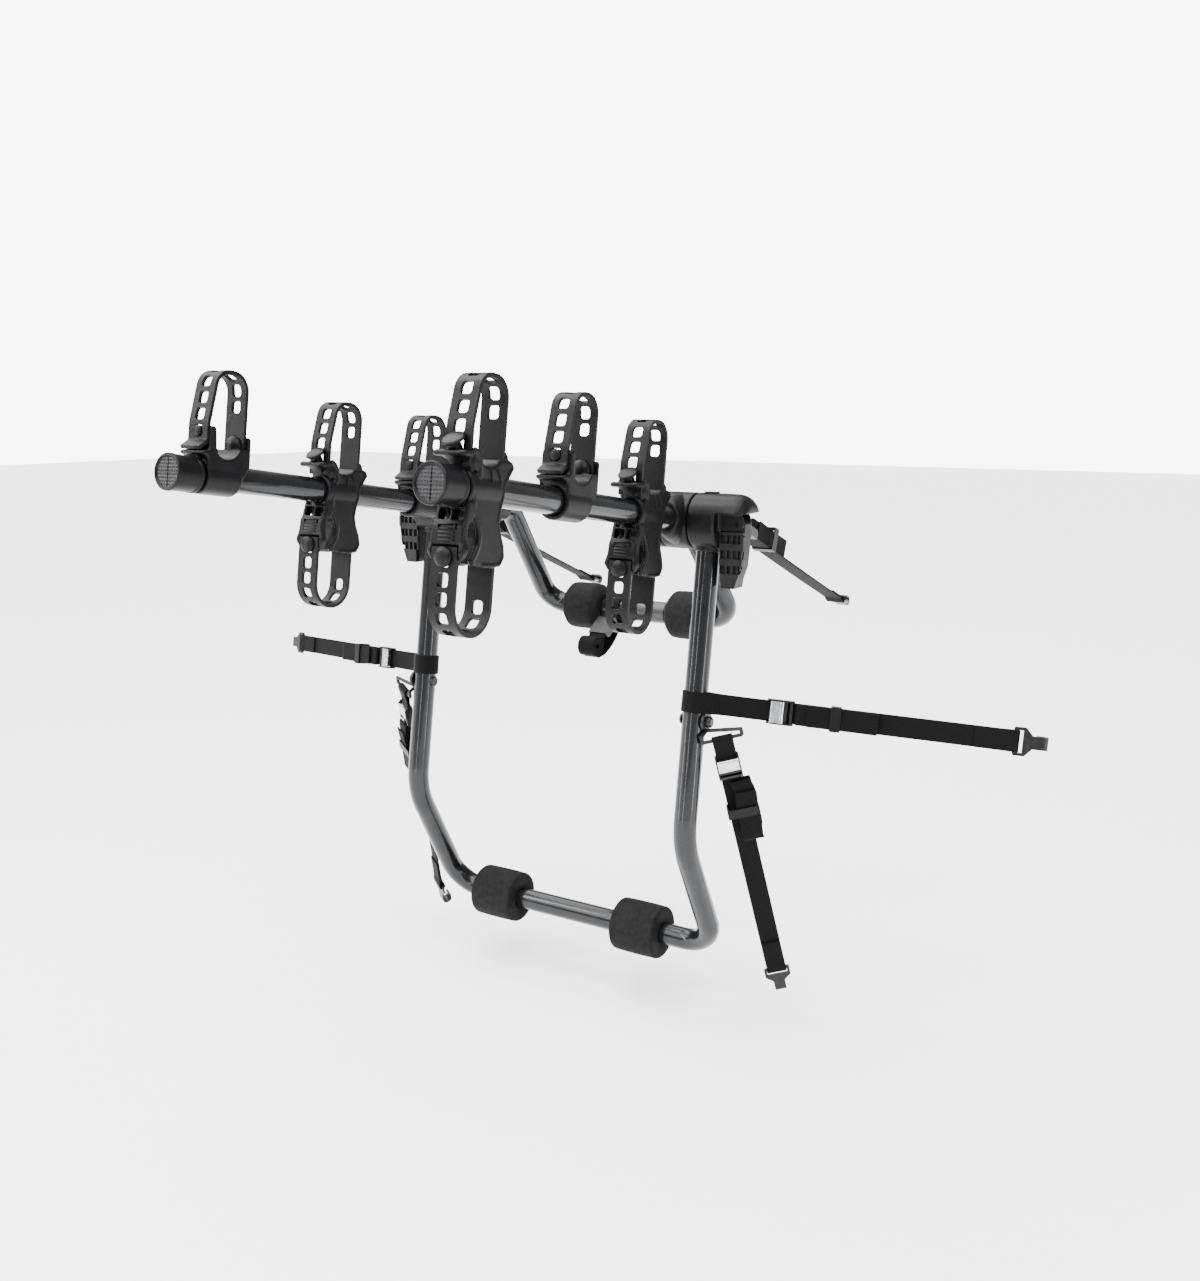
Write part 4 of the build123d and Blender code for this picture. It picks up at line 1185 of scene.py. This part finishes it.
def strap_run():
    """Corners of the run from the roll up to the bar."""
    y, z = REAR_BAR
    knee = Vector((STOW_Y + 14.8, STOW_Z + 10))
    touch = Vector((y - BAR_LOOP_R * cos(BAR_SLOPE), z - BAR_LOOP_R * sin(BAR_SLOPE)))
    along = (touch - knee).normalized()
    points = [(knee.x + 0.3, STOW_Z + 5), (knee.x, knee.y - 1.5)]
    points += [tuple(knee + along * step) for step in (3, 24, 44)]
    return points + [(touch.x + 1.5, touch.y + 1.2)]


def loose_layer():
    """Corners of the layer that hangs loose below the run."""
    y, z = REAR_BAR
    return [(STOW_Y + 4, STOW_Z - 16.6), (STOW_Y + 18, STOW_Z - 15.8), (STOW_Y + 38, STOW_Z - 6),
            (STOW_Y + 56, STOW_Z + 10), (y - 3, z - 18.5), (y + 3, z - 16.4)]


class RACK_OT_stowed(bpy.types.Operator):
    """Make the stowed strap, looped on the rear bar with its tail in a roll"""
    bl_idname = "rack.stowed"
    bl_label = "Stowed strap"

    def execute(self, context):
        place = Matrix.Translation((STOW_X, 0, 0)) @ Matrix(ACROSS_BAR)
        bm = bmesh.new()
        add_ribbon(bm, strap_roll() + strap_run(), place)
        add_ribbon(bm, turned(REAR_BAR, BAR_LOOP_R, 200, 545, 12), place)
        add_ribbon(bm, loose_layer(), place)
        strap = mesh_piece("stowed_strap", bm, FINISH["weave"])
        thickened(strap, context.scene.rack_webbing.thickness)
        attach(strap, "rear_frame")
        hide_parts("stow_strap")
        return {"FINISHED"}


OPERATORS = [RACK_OT_finishes, RACK_OT_foam, RACK_OT_webbing, RACK_OT_cradles, RACK_OT_hubs, RACK_OT_housings,
             RACK_OT_stowed, RACK_OT_stage]
STEPS = [cls.bl_idname for cls in OPERATORS]
GROUPS = {
    "rack_look": RackLook, "rack_foam": RackFoam, "rack_webbing": RackWebbing, "rack_moulding": RackMoulding,
}


class RACK_PT_panel(bpy.types.Panel):
    """The rack's settings and the steps that build it"""
    bl_idname = "RACK_PT_panel"
    bl_label = "Car bike rack"
    bl_space_type = "VIEW_3D"
    bl_region_type = "UI"
    bl_category = "Rack"

    def draw(self, context):
        for group in GROUPS:
            settings = getattr(context.scene, group)
            box = self.layout.box()
            for name in settings.__annotations__:
                box.prop(settings, name)
        for step in STEPS:
            self.layout.operator(step)


CLASSES = list(GROUPS.values()) + OPERATORS + [RACK_PT_panel]


def register():
    for cls in CLASSES:
        bpy.utils.register_class(cls)
    for name, group in GROUPS.items():
        setattr(bpy.types.Scene, name, bpy.props.PointerProperty(type=group))


def unregister():
    for name in GROUPS:
        delattr(bpy.types.Scene, name)
    for cls in reversed(CLASSES):
        bpy.utils.unregister_class(cls)


def main():
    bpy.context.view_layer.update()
    register()
    for step in STEPS:
        group, name = step.split(".")
        getattr(getattr(bpy.ops, group), name)()


if __name__ == "__main__":
    main()
